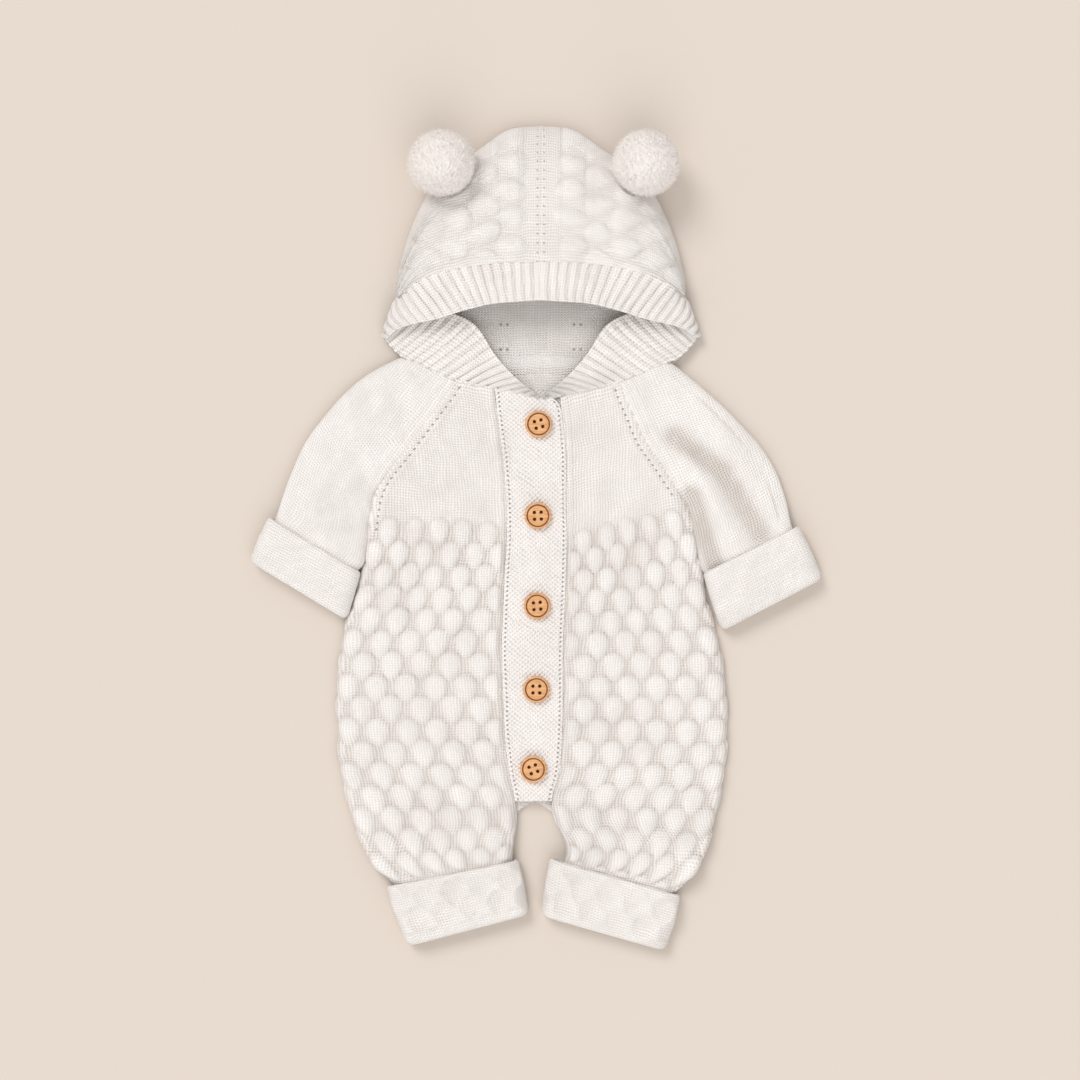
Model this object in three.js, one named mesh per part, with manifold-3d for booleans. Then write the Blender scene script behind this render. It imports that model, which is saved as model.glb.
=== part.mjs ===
// A hooded knitted baby romper, laid out flat on its back on a surface.
// Millimetres, +Z up, the head end towards +Y, and the wearer's right side towards -X.
// Every cloth piece is a wall of knit, worked out from short tables of its edges and set SEAM_GAP from
// its neighbours.

import * as THREE from "three";
import Module from "manifold-3d";
import { mergeVertices } from "three/addons/utils/BufferGeometryUtils.js";

const wasm = await Module();
wasm.setup();

// Driving sizes
const KNIT_THICKNESS = 3;
const SEAM_GAP = 0.3;
const BACK_TOP = KNIT_THICKNESS;
const SEAM_LEVEL = BACK_TOP + SEAM_GAP;
const FRONT_TOP = 9.3;
const CUFF_LIFT = KNIT_THICKNESS + SEAM_GAP;
const EDGE_ROUNDING = 9;
const SHORTEST_ROUNDING = 0.5;
const LEG_EASE = 0.6;

const BUBBLE_ROW_PITCH = 14.9;
const BUBBLE_COLUMNS = 5.6;
const BUBBLE_SHIFT = -0.25;
const BUBBLE_HEIGHT = 3.8;
const BUBBLE_HALF_WIDTH = 0.39;
const BUBBLE_HALF_LENGTH = 0.7;
const DROP_WIDTH = 0.95;
const DROP_TAPER = 0.85;
const YOKE_END = 15;
const BUBBLES_END = -212;

const RIB_PITCH = 6.3;
const RIB_HEIGHT = 1;

const HOOD_CENTRE = 3;
const HOOD_FOLD_LEVEL = 5;
const HOOD_ROUNDING = 0.8;
const HOOD_ROW_PITCH = 18.6;
const HOOD_COLUMN_PITCH = 18.9;
const HOOD_FIRST_BUBBLE = 271;
const HOOD_BUBBLE_HALF_LENGTH = 0.6;
const HOOD_BUBBLE_HEIGHT = 3.2;

const POMPOM_RADIUS = 23;
const POMPOM_CORE_RADIUS = 15;
const POMPOM_LEVEL = 31;
const POMPOM_CLEARANCE = 1.2;
const POMPOM_PLACES = [
  { side: "left", x: -63, y: 251 },
  { side: "right", x: 73, y: 251 },
];

const BUTTON_RADIUS = 9;
const BUTTON_THICKNESS = 3.6;
const BUTTON_HOLE_RADIUS = 1.15;
const BUTTON_HOLE_SPACING = 2.3;
const BUTTON_LEVEL = 10.4;

// Turns rows of numbers into rows with named columns.
function table(columns, rows) {
  return rows.map((row) => Object.fromEntries(columns.map((name, i) => [name, row[i]])));
}

const PANEL_COLUMNS = ["innerX", "innerY", "outerX", "outerY", "innerDrop", "outerDrop", "lift"];

// The two fronts, from the neck to the leg's end. The inner edge meets the placket and then is the inner leg.
// The outer edge is the raglan seam and then the side. A drop of 1 turns that edge down to the side seam.
const FRONT_LEFT = table(PANEL_COLUMNS, [
  [-28.5, 100.5, -54, 106.5, 0, 0, 0],
  [-25.5, 78, -70.5, 84, 0, 0, 0],
  [-22.5, 54.5, -89, 59, 0, 0, 0],
  [-20.5, 28.5, -107.5, 33.5, 0, 0.5, 0],
  [-20, 2.5, -113, 4.5, 0, 1, 0],
  [-21.5, -23.5, -117, -22.5, 0, 1, 0],
  [-22.5, -48.5, -126, -49, 0, 1, 0],
  [-23.5, -74, -131.5, -74, 0, 1, 0],
  [-22.5, -101, -134, -101, 0, 1, 0],
  [-21.5, -128, -133.5, -128, 0, 1, 0],
  [-18.5, -155, -131.5, -154, 0, 1, 0],
  [-14.5, -175, -126, -176.5, 0.3, 1, 0],
  [-13, -188.5, -122, -192.5, 1, 1, 1],
  [-15, -202, -115.5, -206, 1, 1, 2.2],
  [-16, -211, -108.5, -220, 1, 1, CUFF_LIFT],
  [-16, -218, -97.5, -229, 1, 1, CUFF_LIFT],
  [-15, -226, -92, -238, 1, 1, CUFF_LIFT],
  [-11.5, -246, -83.5, -264, 1, 1, CUFF_LIFT],
]);

const FRONT_RIGHT = table(PANEL_COLUMNS, [
  [16, 94, 56.5, 105.6, 0, 0, 0],
  [18.5, 74.5, 64.5, 86.5, 0, 0, 0],
  [20, 54.5, 73, 66.5, 0, 0, 0],
  [20, 29.5, 85.5, 48.5, 0, 0.5, 0],
  [20.5, 2.5, 103, 18.5, 0, 1, 0],
  [20, -23.5, 109.5, -14.5, 0, 1, 0],
  [19, -48.5, 115, -43, 0, 1, 0],
  [18, -74, 123, -71, 0, 1, 0],
  [18, -101, 127, -100, 0, 1, 0],
  [17.5, -128, 128, -128.5, 0, 1, 0],
  [15.5, -155, 126, -155.5, 0, 1, 0],
  [10.5, -175, 122, -178, 0.3, 1, 0],
  [12, -187.5, 119, -191.5, 1, 1, 1],
  [18.5, -201, 114.5, -206, 1, 1, 2.2],
  [20, -210, 106.5, -224, 1, 1, CUFF_LIFT],
  [18, -217, 95.5, -234.5, 1, 1, CUFF_LIFT],
  [15.5, -226, 89, -243, 1, 1, CUFF_LIFT],
  [10.5, -247, 80, -266.5, 1, 1, CUFF_LIFT],
]);

const SLEEVE_COLUMNS = ["seamX", "seamY", "foldX", "foldY", "drop", "lift"];

// The sleeves, from the neck to the end inside the cuff: the raglan and underarm seam, and the shoulder fold.
const SLEEVE_LEFT = table(SLEEVE_COLUMNS, [
  [-54.8, 106.9, -91, 123.5, 0, 0],
  [-71.2, 84.6, -111.5, 113, 0, 0],
  [-89.7, 59.7, -128.5, 99.5, 0, 0],
  [-108.3, 34.2, -143.5, 82.5, 0.5, 0],
  [-114.4, 18.5, -155.5, 66, 1, 0],
  [-117, 0.5, -165.5, 44, 1, 1.5],
  [-119.5, -14, -172, 25, 1, CUFF_LIFT],
  [-122.5, -23.5, -176, 12.5, 1, CUFF_LIFT],
  [-129.5, -46.5, -185, -11, 1, CUFF_LIFT],
]);

const SLEEVE_RIGHT = table(SLEEVE_COLUMNS, [
  [57.1, 105.6, 90, 120.6, 0, 0],
  [65.7, 87.3, 113, 101.5, 0, 0],
  [74.9, 67.6, 129.5, 86.5, 0, 0],
  [86.9, 49.7, 141.5, 74, 0.5, 0],
  [103, 28, 152, 62, 1, 0],
  [108.5, 11, 161, 46.5, 1, 1.5],
  [112, -6, 168, 26, 1, CUFF_LIFT],
  [115, -20, 171, 12, 1, CUFF_LIFT],
  [117, -27, 173.5, 5, 1, CUFF_LIFT],
  [126.5, -55, 185, -22.5, 1, CUFF_LIFT],
]);

const CUFF_COLUMNS = ["leftX", "leftY", "rightX", "rightY"];

// The turned-up cuffs, from the upper edge to the fold at the lower end.
const CUFFS = {
  sleeve_cuff_left: table(CUFF_COLUMNS, [
    [-180, 16, -118, -21.5],
    [-187.5, 0.5, -122.5, -37.5],
    [-193, -14, -127.5, -53.5],
  ]),
  sleeve_cuff_right: table(CUFF_COLUMNS, [
    [112, -22, 176.5, 10],
    [117.5, -41, 185.5, -8],
    [124.5, -61, 192.5, -25.5],
  ]),
  leg_cuff_left: table(CUFF_COLUMNS, [
    [-101, -232.5, -12, -214.5],
    [-95.5, -251, -8, -232],
    [-86.5, -272.5, -5, -251],
  ]),
  leg_cuff_right: table(CUFF_COLUMNS, [
    [9, -213.5, 97, -238.5],
    [5.5, -232, 93, -257],
    [3, -252, 86.5, -275.5],
  ]),
};

const BACK_NECK_Y = 117.8;
const BACK_OVERLAP = 0.4;
const CROTCH = { x: -1.35, y: -176 };

// The hood's half beside the centre seam, out to the corner of the face opening, as distances from its
// centre line: the seam to the ribbed band with its height, the outline where the cloth folds over, and
// the back of the neck.
const HOOD_HALF = table(["seamX", "seamY", "seamZ", "foldX", "foldY", "neckX", "neckY"], [
  [0.15, 186.2, 28.5, 0.15, 279, 0.15, 118.3],
  [19, 185.7, 28, 21.5, 276.5, 20, 116.5],
  [42, 184.1, 27, 43.5, 262, 40, 112.5],
  [59.5, 181, 25, 62, 250, 56, 108.5],
  [74.5, 176.5, 22.5, 76.5, 233, 69, 114],
  [86, 170.5, 19.5, 87, 211.5, 80, 119],
  [93, 166, 17, 93.5, 191.5, 89, 124],
  [96.5, 163.5, 15, 97.5, 175, 95, 129],
]);

const BAND_COLUMNS = ["seamX", "seamY", "seamZ", "middleX", "middleY", "middleZ", "freeX", "freeY", "freeZ"];

// The upper stretch of a ribbed band, from the corner of the face opening to the middle of the forehead.
const BAND_UPPER = table(BAND_COLUMNS, [
  [107, 139.5, 5, 107.5, 137.5, 8.5, 103.5, 135.5, 10],
  [103.5, 149.5, 6, 104, 145, 12, 97.5, 140.5, 14],
  [99, 160, 10, 97.5, 152, 17, 89.5, 143.5, 18],
  [87.5, 168.7, 19.5, 79, 158.5, 22.5, 71, 147.5, 22],
  [67.5, 178, 24.5, 60, 165.5, 27.5, 51.5, 153, 27],
  [42, 183.6, 27, 38, 170.5, 30, 34, 157, 30],
  [20.5, 185.3, 28, 19, 172, 31, 18, 158.5, 31.5],
  [0.15, 185.8, 28.5, 0.15, 172.5, 31.5, 0.15, 159.5, 32],
]);

// Its lower stretch, which lies on the neck seam: from the chin up to the same corner, passing under the
// upper one.
const BAND_LOWER = table(BAND_COLUMNS, [
  [2, 94.3, 9.3, 1.5, 95.7, 10, 1, 97.5, 10],
  [31.5, 101.2, 9.3, 22, 104, 11.5, 13.5, 106, 12],
  [57, 107.6, 9.3, 44, 116, 12, 30.5, 124, 12.5],
  [78.5, 117.2, 9.3, 61.5, 129.5, 11.5, 45, 145, 12],
  [93.5, 124.6, 9, 78, 137.5, 10.5, 64, 153, 11],
  [101.5, 132.5, 8, 92, 141, 10, 83, 150, 11],
  [106, 138, 7.5, 102, 141.5, 9, 97.5, 144.5, 10],
]);

// The button strip lies between the fronts' inner edges, down to this row of their tables, and hangs a little
// lower in the middle of the neck. The corner of its free edge is rounded.
const PLACKET_LAST_ROW = 11;
const PLACKET_NECK_SAG = 4.2;
const PLACKET_CORNER = 9;
const PLACKET_GAP = 0.7;
const PLACKET_SWELL = 0.8;

const BUTTONS = table(["x", "y", "turn"], [
  [1.5, 78, 15],
  [1, 16.5, 2],
  [0.5, -44, 5],
  [0, -100, 0],
  [-2, -153.5, 20],
]);

// Soft folds of the top layer: a trough along a line, with its half width and depth.
const FOLDS = table(["fromX", "fromY", "toX", "toY", "halfWidth", "depth"], [
  [93, 70, 124, 47, 9, 1.8],
  [124, 47, 150, 5, 9, 1.8],
  [-118, 40, -140, 20, 8, 1.2],
  [-126, 10, -150, 8, 7, 1],
  [-95, 20, -70, -5, 9, 0.8],
  [85, 12, 60, -12, 9, 0.8],
  [-60, -190, -20, -180, 8, 1],
  [60, -192, 25, -180, 8, 1],
]);

// How far the folds press the top layer down at a place.
function foldDepth(x, y) {
  let depth = 0;
  for (const fold of FOLDS) {
    const line = new THREE.Line3(
      new THREE.Vector3(fold.fromX, fold.fromY, 0),
      new THREE.Vector3(fold.toX, fold.toY, 0),
    );
    const place = new THREE.Vector3(x, y, 0);
    const distance = line.closestPointToPoint(place, true, new THREE.Vector3()).distanceTo(place);
    depth = Math.max(depth, fold.depth * Math.exp(-((distance / fold.halfWidth) ** 2)));
  }
  return depth;
}

// A smooth line through a table's points, read by row number from 0 to 1.
function edge(rows, xName, yName, zName) {
  const points = rows.map((row) => new THREE.Vector3(row[xName], row[yName], zName ? row[zName] : 0));
  const curve = new THREE.CatmullRomCurve3(points, false, "centripetal");
  return (t) => curve.getPoint(t);
}

// A column's value between two rows, read by row number from 0 to 1.
function column(rows, name) {
  return (t) => {
    const place = t * (rows.length - 1);
    const row = Math.min(Math.floor(place), rows.length - 2);
    return THREE.MathUtils.lerp(rows[row][name], rows[row + 1][name], place - row);
  };
}

function steps(count, from = 0, to = 1) {
  return Array.from({ length: count + 1 }, (_, i) => THREE.MathUtils.lerp(from, to, i / count));
}

// The height of a rounded edge above its seam, as a fraction, at a distance from the outline.
function roundedEdge(distance, radius) {
  const run = THREE.MathUtils.clamp(1 - distance / radius, 0, 1);
  return Math.sqrt(1 - run * run);
}

// A bubble stitch's height: staggered drops with a round top and a pointed lower end.
function bubble(columnPlace, rowPlace, halfLength) {
  let height = 0;
  for (const row of [Math.floor(rowPlace), Math.floor(rowPlace) + 1]) {
    const stagger = row % 2 === 0 ? 0 : 0.5;
    const nearest = Math.round(columnPlace - stagger) + stagger;
    const along = THREE.MathUtils.clamp((rowPlace - row) / halfLength, -0.999, 0.999);
    const outline = DROP_WIDTH * Math.sqrt(1 + along) * (1 - along) ** DROP_TAPER;
    const across = (columnPlace - nearest) / (BUBBLE_HALF_WIDTH * outline);
    const crown = Math.sqrt(Math.max(1 - across * across, 0));
    height = Math.max(height, crown * Math.min(outline, 1));
  }
  return height;
}

// A closed body from triangles of loose corners, turned so that its faces point out.
function bodyFromTriangles(corners) {
  const positions = [];
  let volume = 0;
  for (const [a, b, c] of corners) {
    positions.push(...a.toArray(), ...b.toArray(), ...c.toArray());
    volume += a.dot(new THREE.Vector3().crossVectors(b, c)) / 6;
  }
  if (volume < 0) {
    for (let i = 0; i < positions.length; i += 9) {
      const second = positions.slice(i + 3, i + 6);
      positions.splice(i + 3, 3, ...positions.slice(i + 6, i + 9));
      positions.splice(i + 6, 3, ...second);
    }
  }
  const geometry = new THREE.BufferGeometry();
  geometry.setAttribute("position", new THREE.Float32BufferAttribute(positions, 3));
  return mergeVertices(geometry, 1e-4);
}

function addQuad(corners, a, b, c, d) {
  if (a.distanceToSquared(c) < b.distanceToSquared(d)) {
    corners.push([a, b, c], [a, c, d]);
  } else {
    corners.push([a, b, d], [b, c, d]);
  }
}

function addGrid(corners, grid, reversed) {
  for (let i = 0; i < grid.length - 1; i += 1) {
    for (let j = 0; j < grid[i].length - 1; j += 1) {
      const quad = [grid[i][j], grid[i + 1][j], grid[i + 1][j + 1], grid[i][j + 1]];
      addQuad(corners, ...(reversed ? quad.reverse() : quad));
    }
  }
}

// Triangles between two lines with different numbers of points, always across the shorter way.
function addStrip(corners, first, second) {
  let i = 0;
  let j = 0;
  while (i < first.length - 1 || j < second.length - 1) {
    const firstReach = i < first.length - 1 ? first[i + 1].distanceTo(second[j]) : Infinity;
    const secondReach = j < second.length - 1 ? second[j + 1].distanceTo(first[i]) : Infinity;
    if (firstReach <= secondReach) {
      corners.push([first[i], first[i + 1], second[j]]);
      i += 1;
    } else {
      corners.push([first[i], second[j + 1], second[j]]);
      j += 1;
    }
  }
}

// A wall between an outer and an inner grid of points, closed along its four edges.
function wall(outer, inner) {
  const corners = [];
  addGrid(corners, outer, false);
  addGrid(corners, inner, true);
  const last = (grid) => grid[grid.length - 1];
  const start = (grid) => grid.map((row) => row[0]);
  const end = (grid) => grid.map((row) => last(row));
  addStrip(corners, outer[0], inner[0]);
  addStrip(corners, [...last(outer)].reverse(), [...last(inner)].reverse());
  addStrip(corners, start(outer).reverse(), start(inner).reverse());
  addStrip(corners, end(outer), end(inner));
  return bodyFromTriangles(corners);
}

// A closed ring swept round a closed profile: rings[i][j] is point j of ring i.
function closedSweep(rings) {
  const corners = [];
  rings.forEach((ring, i) => {
    const next = rings[(i + 1) % rings.length];
    ring.forEach((point, j) => {
      const across = (j + 1) % ring.length;
      addQuad(corners, point, next[j], next[across], ring[across]);
    });
  });
  return bodyFromTriangles(corners);
}

function toSolid(geometry) {
  const plain = geometry.index ? geometry.toNonIndexed() : geometry.clone();
  plain.deleteAttribute("normal");
  plain.deleteAttribute("uv");
  const merged = mergeVertices(plain, 1e-4);
  return new wasm.Manifold(
    new wasm.Mesh({
      numProp: 3,
      vertProperties: new Float32Array(merged.attributes.position.array),
      triVerts: new Uint32Array(merged.index.array),
    }),
  );
}

function fromSolid(solid) {
  const mesh = solid.getMesh();
  const geometry = new THREE.BufferGeometry();
  geometry.setAttribute("position", new THREE.BufferAttribute(mesh.vertProperties, 3));
  geometry.setIndex(new THREE.BufferAttribute(mesh.triVerts, 1));
  return geometry;
}

function join(first, second) {
  return fromSolid(toSolid(first).add(toSolid(second)));
}

// A front panel as a surface: across runs from the placket to the side, t down the panel.
// An inset of 0 gives the outer face, and one of 1 the inner face.
function frontSurface(rows) {
  const inner = edge(rows, "innerX", "innerY");
  const outer = edge(rows, "outerX", "outerY");
  const innerDrop = column(rows, "innerDrop");
  const outerDrop = column(rows, "outerDrop");
  const lift = column(rows, "lift");
  return (across, t, inset) => {
    const start = inner(t);
    const end = outer(t);
    const width = start.distanceTo(end);
    const wallInset = KNIT_THICKNESS * inset;
    const top = FRONT_TOP + lift(t) - wallInset;
    const level = SEAM_LEVEL + lift(t) + LEG_EASE * Math.min(lift(t), 1);
    const innerInset = wallInset * innerDrop(t);
    const outerInset = wallInset * outerDrop(t);
    const distance = innerInset + across * (width - innerInset - outerInset);
    const fromInner = roundedEdge(distance - innerInset, shrunkRounding(innerDrop(t), innerInset));
    const fromOuter = roundedEdge(width - distance - outerInset, shrunkRounding(outerDrop(t), outerInset));
    const missing = innerDrop(t) * (1 - fromInner) + outerDrop(t) * (1 - fromOuter);
    const place = start.lerp(end, distance / width);
    const folds = foldDepth(place.x, place.y) * fromInner * fromOuter;
    place.z = Math.max(top - missing * (top - level) - folds, level);
    return place;
  };
}

function shrunkRounding(drop, inset) {
  return Math.max(EDGE_ROUNDING * drop - inset, SHORTEST_ROUNDING);
}

function halfwayCurve(rows) {
  const points = rows.map(
    (row) => new THREE.Vector3((row.innerX + row.outerX) / 2, (row.innerY + row.outerY) / 2, 0),
  );
  return new THREE.CatmullRomCurve3(points, false, "centripetal");
}

// A front panel: plain knit in the yoke, then rows of raised bubbles down to the cuff.
function frontPanel(rows) {
  const surface = frontSurface(rows);
  const middle = halfwayCurve(rows);
  const length = middle.getLength();
  const atLength = (distance) => middle.getUtoTmapping(0, distance);
  const yokeLength = middle.getPoint(0).y - YOKE_END;
  const rowCount = Math.floor((YOKE_END - BUBBLES_END) / BUBBLE_ROW_PITCH) * 2;
  const bubblesEnd = yokeLength + (rowCount * BUBBLE_ROW_PITCH) / 2;
  const downs = [
    ...steps(5, 0, yokeLength - BUBBLE_ROW_PITCH / 2),
    ...steps(rowCount, yokeLength, bubblesEnd),
    ...steps(2, bubblesEnd, length).slice(1),
  ];
  const quarters = steps(20, 0.25, 5.25);
  const acrosses = [0, 0.06, ...quarters, 5.42, 5.54, BUBBLE_COLUMNS];
  const outer = downs.map((down) =>
    acrosses.map((place) => {
      const point = surface(place / BUBBLE_COLUMNS, atLength(down), 0);
      const rowPlace = (down - yokeLength) / BUBBLE_ROW_PITCH;
      const inBubbles = rowPlace > 0.2 && rowPlace < rowCount / 2 - 0.2;
      const fromEdge = Math.min(place, BUBBLE_COLUMNS - place);
      const fade = THREE.MathUtils.smoothstep(fromEdge, 0, 0.5);
      const raised = bubble(place + BUBBLE_SHIFT, rowPlace, BUBBLE_HALF_LENGTH);
      point.z += inBubbles ? BUBBLE_HEIGHT * fade * raised : 0;
      return point;
    }),
  );
  const inner = steps((rows.length - 1) * 2).map((t) =>
    [0, 0.04, 0.5, 0.96, 1].map((across) => surface(across, t, 1)),
  );
  return wall(outer, inner);
}

// One half of the back, with the outline of its front: flat where it rests and lifted inside the cuff.
// Above the crotch it is carried a little over the centre line, where the halves are one piece.
function backHalf(rows, side) {
  const outerEdge = edge(rows, "outerX", "outerY");
  const innerEdge = edge(rows, "innerX", "innerY");
  const lift = column(rows, "lift");
  const layer = (level) =>
    steps((rows.length - 1) * 2).map((t) => {
      const end = outerEdge(t);
      const start = innerEdge(t);
      const belowCrotch = Math.max(CROTCH.y - start.y, 0);
      const legShare = Math.sqrt(THREE.MathUtils.smoothstep(belowCrotch, 0, 9));
      start.x = THREE.MathUtils.lerp(CROTCH.x - side * BACK_OVERLAP, start.x, legShare);
      start.y = t === 0 ? BACK_NECK_Y : start.y;
      return steps(2).map((across) => {
        const place = start.clone().lerp(end, across);
        place.z = level + lift(t);
        return place;
      });
    });
  return wall(layer(BACK_TOP), layer(0));
}

// A cloth folded over on itself, as a ring of points from its upper seam over the fold to its lower seam.
// The counts are of the flat part, the rounded part and the under side.
function foldedRing(section, inset, counts) {
  const { seam, fold, back, top, middle, bottom, level, drop, rounding } = section;
  const wallInset = KNIT_THICKNESS * inset;
  const seamInset = wallInset * drop;
  const reach = flatDistance(seam, fold) - wallInset - seamInset;
  const foldRadius = Math.max(Math.min(rounding, reach) - wallInset, SHORTEST_ROUNDING);
  const ring = spreadAcross(reach, foldRadius, counts).map((across) => {
    const high = middle + (top - wallInset - middle) * roundedEdge(reach - across, foldRadius);
    const atSeam = roundedEdge(across, shrunkRounding(drop, seamInset));
    const height = THREE.MathUtils.lerp(level, high, 1 - drop * (1 - atSeam));
    return towards(fold, seam, wallInset + reach - across).setZ(height);
  });
  const low = bottom + wallInset;
  const underRadius = middle - low;
  for (const turn of [Math.PI / 4, Math.PI / 2]) {
    const distance = wallInset + underRadius * (1 - Math.cos(turn));
    ring.push(towards(fold, back, distance).setZ(middle - underRadius * Math.sin(turn)));
  }
  for (const distance of steps(counts.under, wallInset + underRadius, flatDistance(back, fold)).slice(1)) {
    ring.push(towards(fold, back, distance).setZ(low));
  }
  return ring;
}

function flatDistance(from, to) {
  return Math.hypot(to.x - from.x, to.y - from.y);
}

// The place at a distance from one point towards another, seen from above.
function towards(from, to, distance) {
  return from.clone().lerp(to, distance / flatDistance(from, to));
}

// Distances across a top layer: even at first, then closer together round the fold.
function spreadAcross(reach, foldRadius, counts) {
  const flatEnd = Math.max(reach - foldRadius, reach * 0.05);
  const flat = steps(counts.flat, 0, flatEnd);
  const turns = steps(counts.round, 0, Math.PI / 2).slice(1);
  return [...flat, ...turns.map((turn) => flatEnd + (reach - flatEnd) * Math.sin(turn))];
}

function sleeve(rows) {
  const seam = edge(rows, "seamX", "seamY");
  const fold = edge(rows, "foldX", "foldY");
  const drop = column(rows, "drop");
  const lift = column(rows, "lift");
  const counts = { flat: 6, round: 3, under: 2 };
  const rings = (inset) =>
    steps((rows.length - 1) * 2).map((t) => {
      const section = {
        seam: seam(t),
        fold: fold(t),
        back: seam(t),
        top: FRONT_TOP + lift(t),
        middle: FRONT_TOP / 2 + lift(t),
        bottom: lift(t),
        level: SEAM_LEVEL + lift(t),
        drop: drop(t),
        rounding: EDGE_ROUNDING,
      };
      const lowest = section.level + (1 - inset) * KNIT_THICKNESS;
      return foldedRing(section, inset, counts).map((point, j) => {
        const inFlat = j <= counts.flat && point.z > lowest;
        return inFlat ? point.setZ(Math.max(point.z - foldDepth(point.x, point.y), lowest)) : point;
      });
    });
  return wall(rings(0), rings(1));
}

// A flattened tube's ring between two edges, moved out by an offset: round above, and flat below.
function flatTubeRing(left, right, top, bottom, offset) {
  const width = flatDistance(left, right);
  const middle = (top + bottom) / 2;
  const halfHeight = (top - bottom) / 2 + offset;
  const endRun = Math.max(EDGE_ROUNDING + offset, 1);
  const underRun = Math.max(KNIT_THICKNESS + offset, 0.1);
  const at = (distance, height) => towards(left, right, distance).setZ(height);
  const turns = [0, 35, 65].map((angle) => THREE.MathUtils.degToRad(angle));
  const leftEnd = turns.map((turn) => [
    -offset + endRun * (1 - Math.cos(turn)),
    middle + halfHeight * Math.sin(turn),
  ]);
  const rightEnd = leftEnd.map(([distance, height]) => [width - distance, height]).reverse();
  const low = middle - halfHeight;
  return [
    ...leftEnd.map(([distance, height]) => at(distance, height)),
    ...steps(8, -offset + endRun, width + offset - endRun).map((distance) => {
      return at(distance, middle + halfHeight);
    }),
    ...rightEnd.map(([distance, height]) => at(distance, height)),
    at(width + offset, low + underRun),
    ...steps(2, width + offset - underRun, underRun - offset).map((distance) => at(distance, low)),
    at(-offset, low + underRun),
  ];
}

// A turned-up cuff: an outer layer over the end of the tube, folded inwards past that end.
function cuff(rows) {
  const left = edge(rows, "leftX", "leftY");
  const right = edge(rows, "rightX", "rightY");
  const length = left(0).distanceTo(left(1));
  const foldStart = 1 - 3.3 / length;
  const tubeTop = FRONT_TOP + CUFF_LIFT;
  const tubeBottom = CUFF_LIFT;
  const profile = table(["place", "offset"], [
    [0, -3],
    [0.008, -0.6],
    [0.04, 0],
    [0.3, 0],
    [0.6, 0],
    [foldStart - 0.01, 0],
    [foldStart + 0.05, -0.9],
    [1, -3],
    [1, -6],
    [foldStart, -6],
    [foldStart, -3],
    [0.5, -3],
  ]);
  return closedSweep(
    profile.map(({ place, offset }) =>
      flatTubeRing(left(place), right(place), tubeTop + CUFF_LIFT, tubeBottom - CUFF_LIFT, offset),
    ),
  );
}

// The lowest level that a pompom leaves free over a place.
function levelUnderPompoms(x, y) {
  let level = Infinity;
  for (const pompom of POMPOM_PLACES) {
    const reach = POMPOM_RADIUS + POMPOM_CLEARANCE;
    const distance = Math.hypot(x - pompom.x, y - pompom.y);
    if (distance < reach) {
      level = Math.min(level, POMPOM_LEVEL - Math.sqrt(reach * reach - distance * distance));
    }
  }
  return level;
}

// A half of the hood, from the band's seam over the crown to the back of the neck.
function hoodHalf(side) {
  const seam = edge(HOOD_HALF, "seamX", "seamY", "seamZ");
  const fold = edge(HOOD_HALF, "foldX", "foldY");
  const neck = edge(HOOD_HALF, "neckX", "neckY");
  const onSide = (point) => point.clone().setX(HOOD_CENTRE + side * point.x);
  const rings = (inset, count, counts) =>
    steps(count).map((t) => {
      const start = seam(t);
      const section = {
        seam: onSide(start),
        fold: onSide(fold(t)),
        back: onSide(neck(t)),
        top: start.z,
        middle: HOOD_FOLD_LEVEL,
        bottom: 0,
        level: SEAM_LEVEL,
        drop: 0,
        rounding: start.distanceTo(fold(t)) * HOOD_ROUNDING,
      };
      return foldedRing(section, inset, counts).map((point, j) => {
        const onTop = j < counts.flat + counts.round;
        return onTop ? point.setZ(hoodLevel(point, inset, section)) : point;
      });
    });
  return wall(rings(0, 20, { flat: 4, round: 11, under: 3 }), rings(1, 10, { flat: 2, round: 6, under: 2 }));
}

// The hood's top layer, pressed down where a pompom lies on it. It is knitted sideways, so its bubbles lie on
// their sides and point out from the centre seam.
function hoodLevel(point, inset, section) {
  const fromSeam = flatDistance(point, section.seam);
  const fromFold = flatDistance(point, section.fold);
  const fade = THREE.MathUtils.smoothstep(fromSeam, 0, 9) * THREE.MathUtils.smoothstep(fromFold, 4, 16);
  const rowPlace = Math.abs(point.x - HOOD_CENTRE) / HOOD_ROW_PITCH - 0.13;
  const columnPlace = (HOOD_FIRST_BUBBLE - point.y) / HOOD_COLUMN_PITCH + 0.5;
  const raised = rowPlace > 0.5 ? bubble(columnPlace, rowPlace, HOOD_BUBBLE_HALF_LENGTH) : 0;
  const relief = inset === 0 ? HOOD_BUBBLE_HEIGHT * fade * raised : 0;
  const highest = levelUnderPompoms(point.x, point.y) - KNIT_THICKNESS * inset;
  const lowest = fromFold < KNIT_THICKNESS * 2 ? HOOD_FOLD_LEVEL : SEAM_LEVEL + KNIT_THICKNESS * (1 - inset);
  return Math.max(Math.min(point.z + relief, highest), lowest);
}

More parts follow.
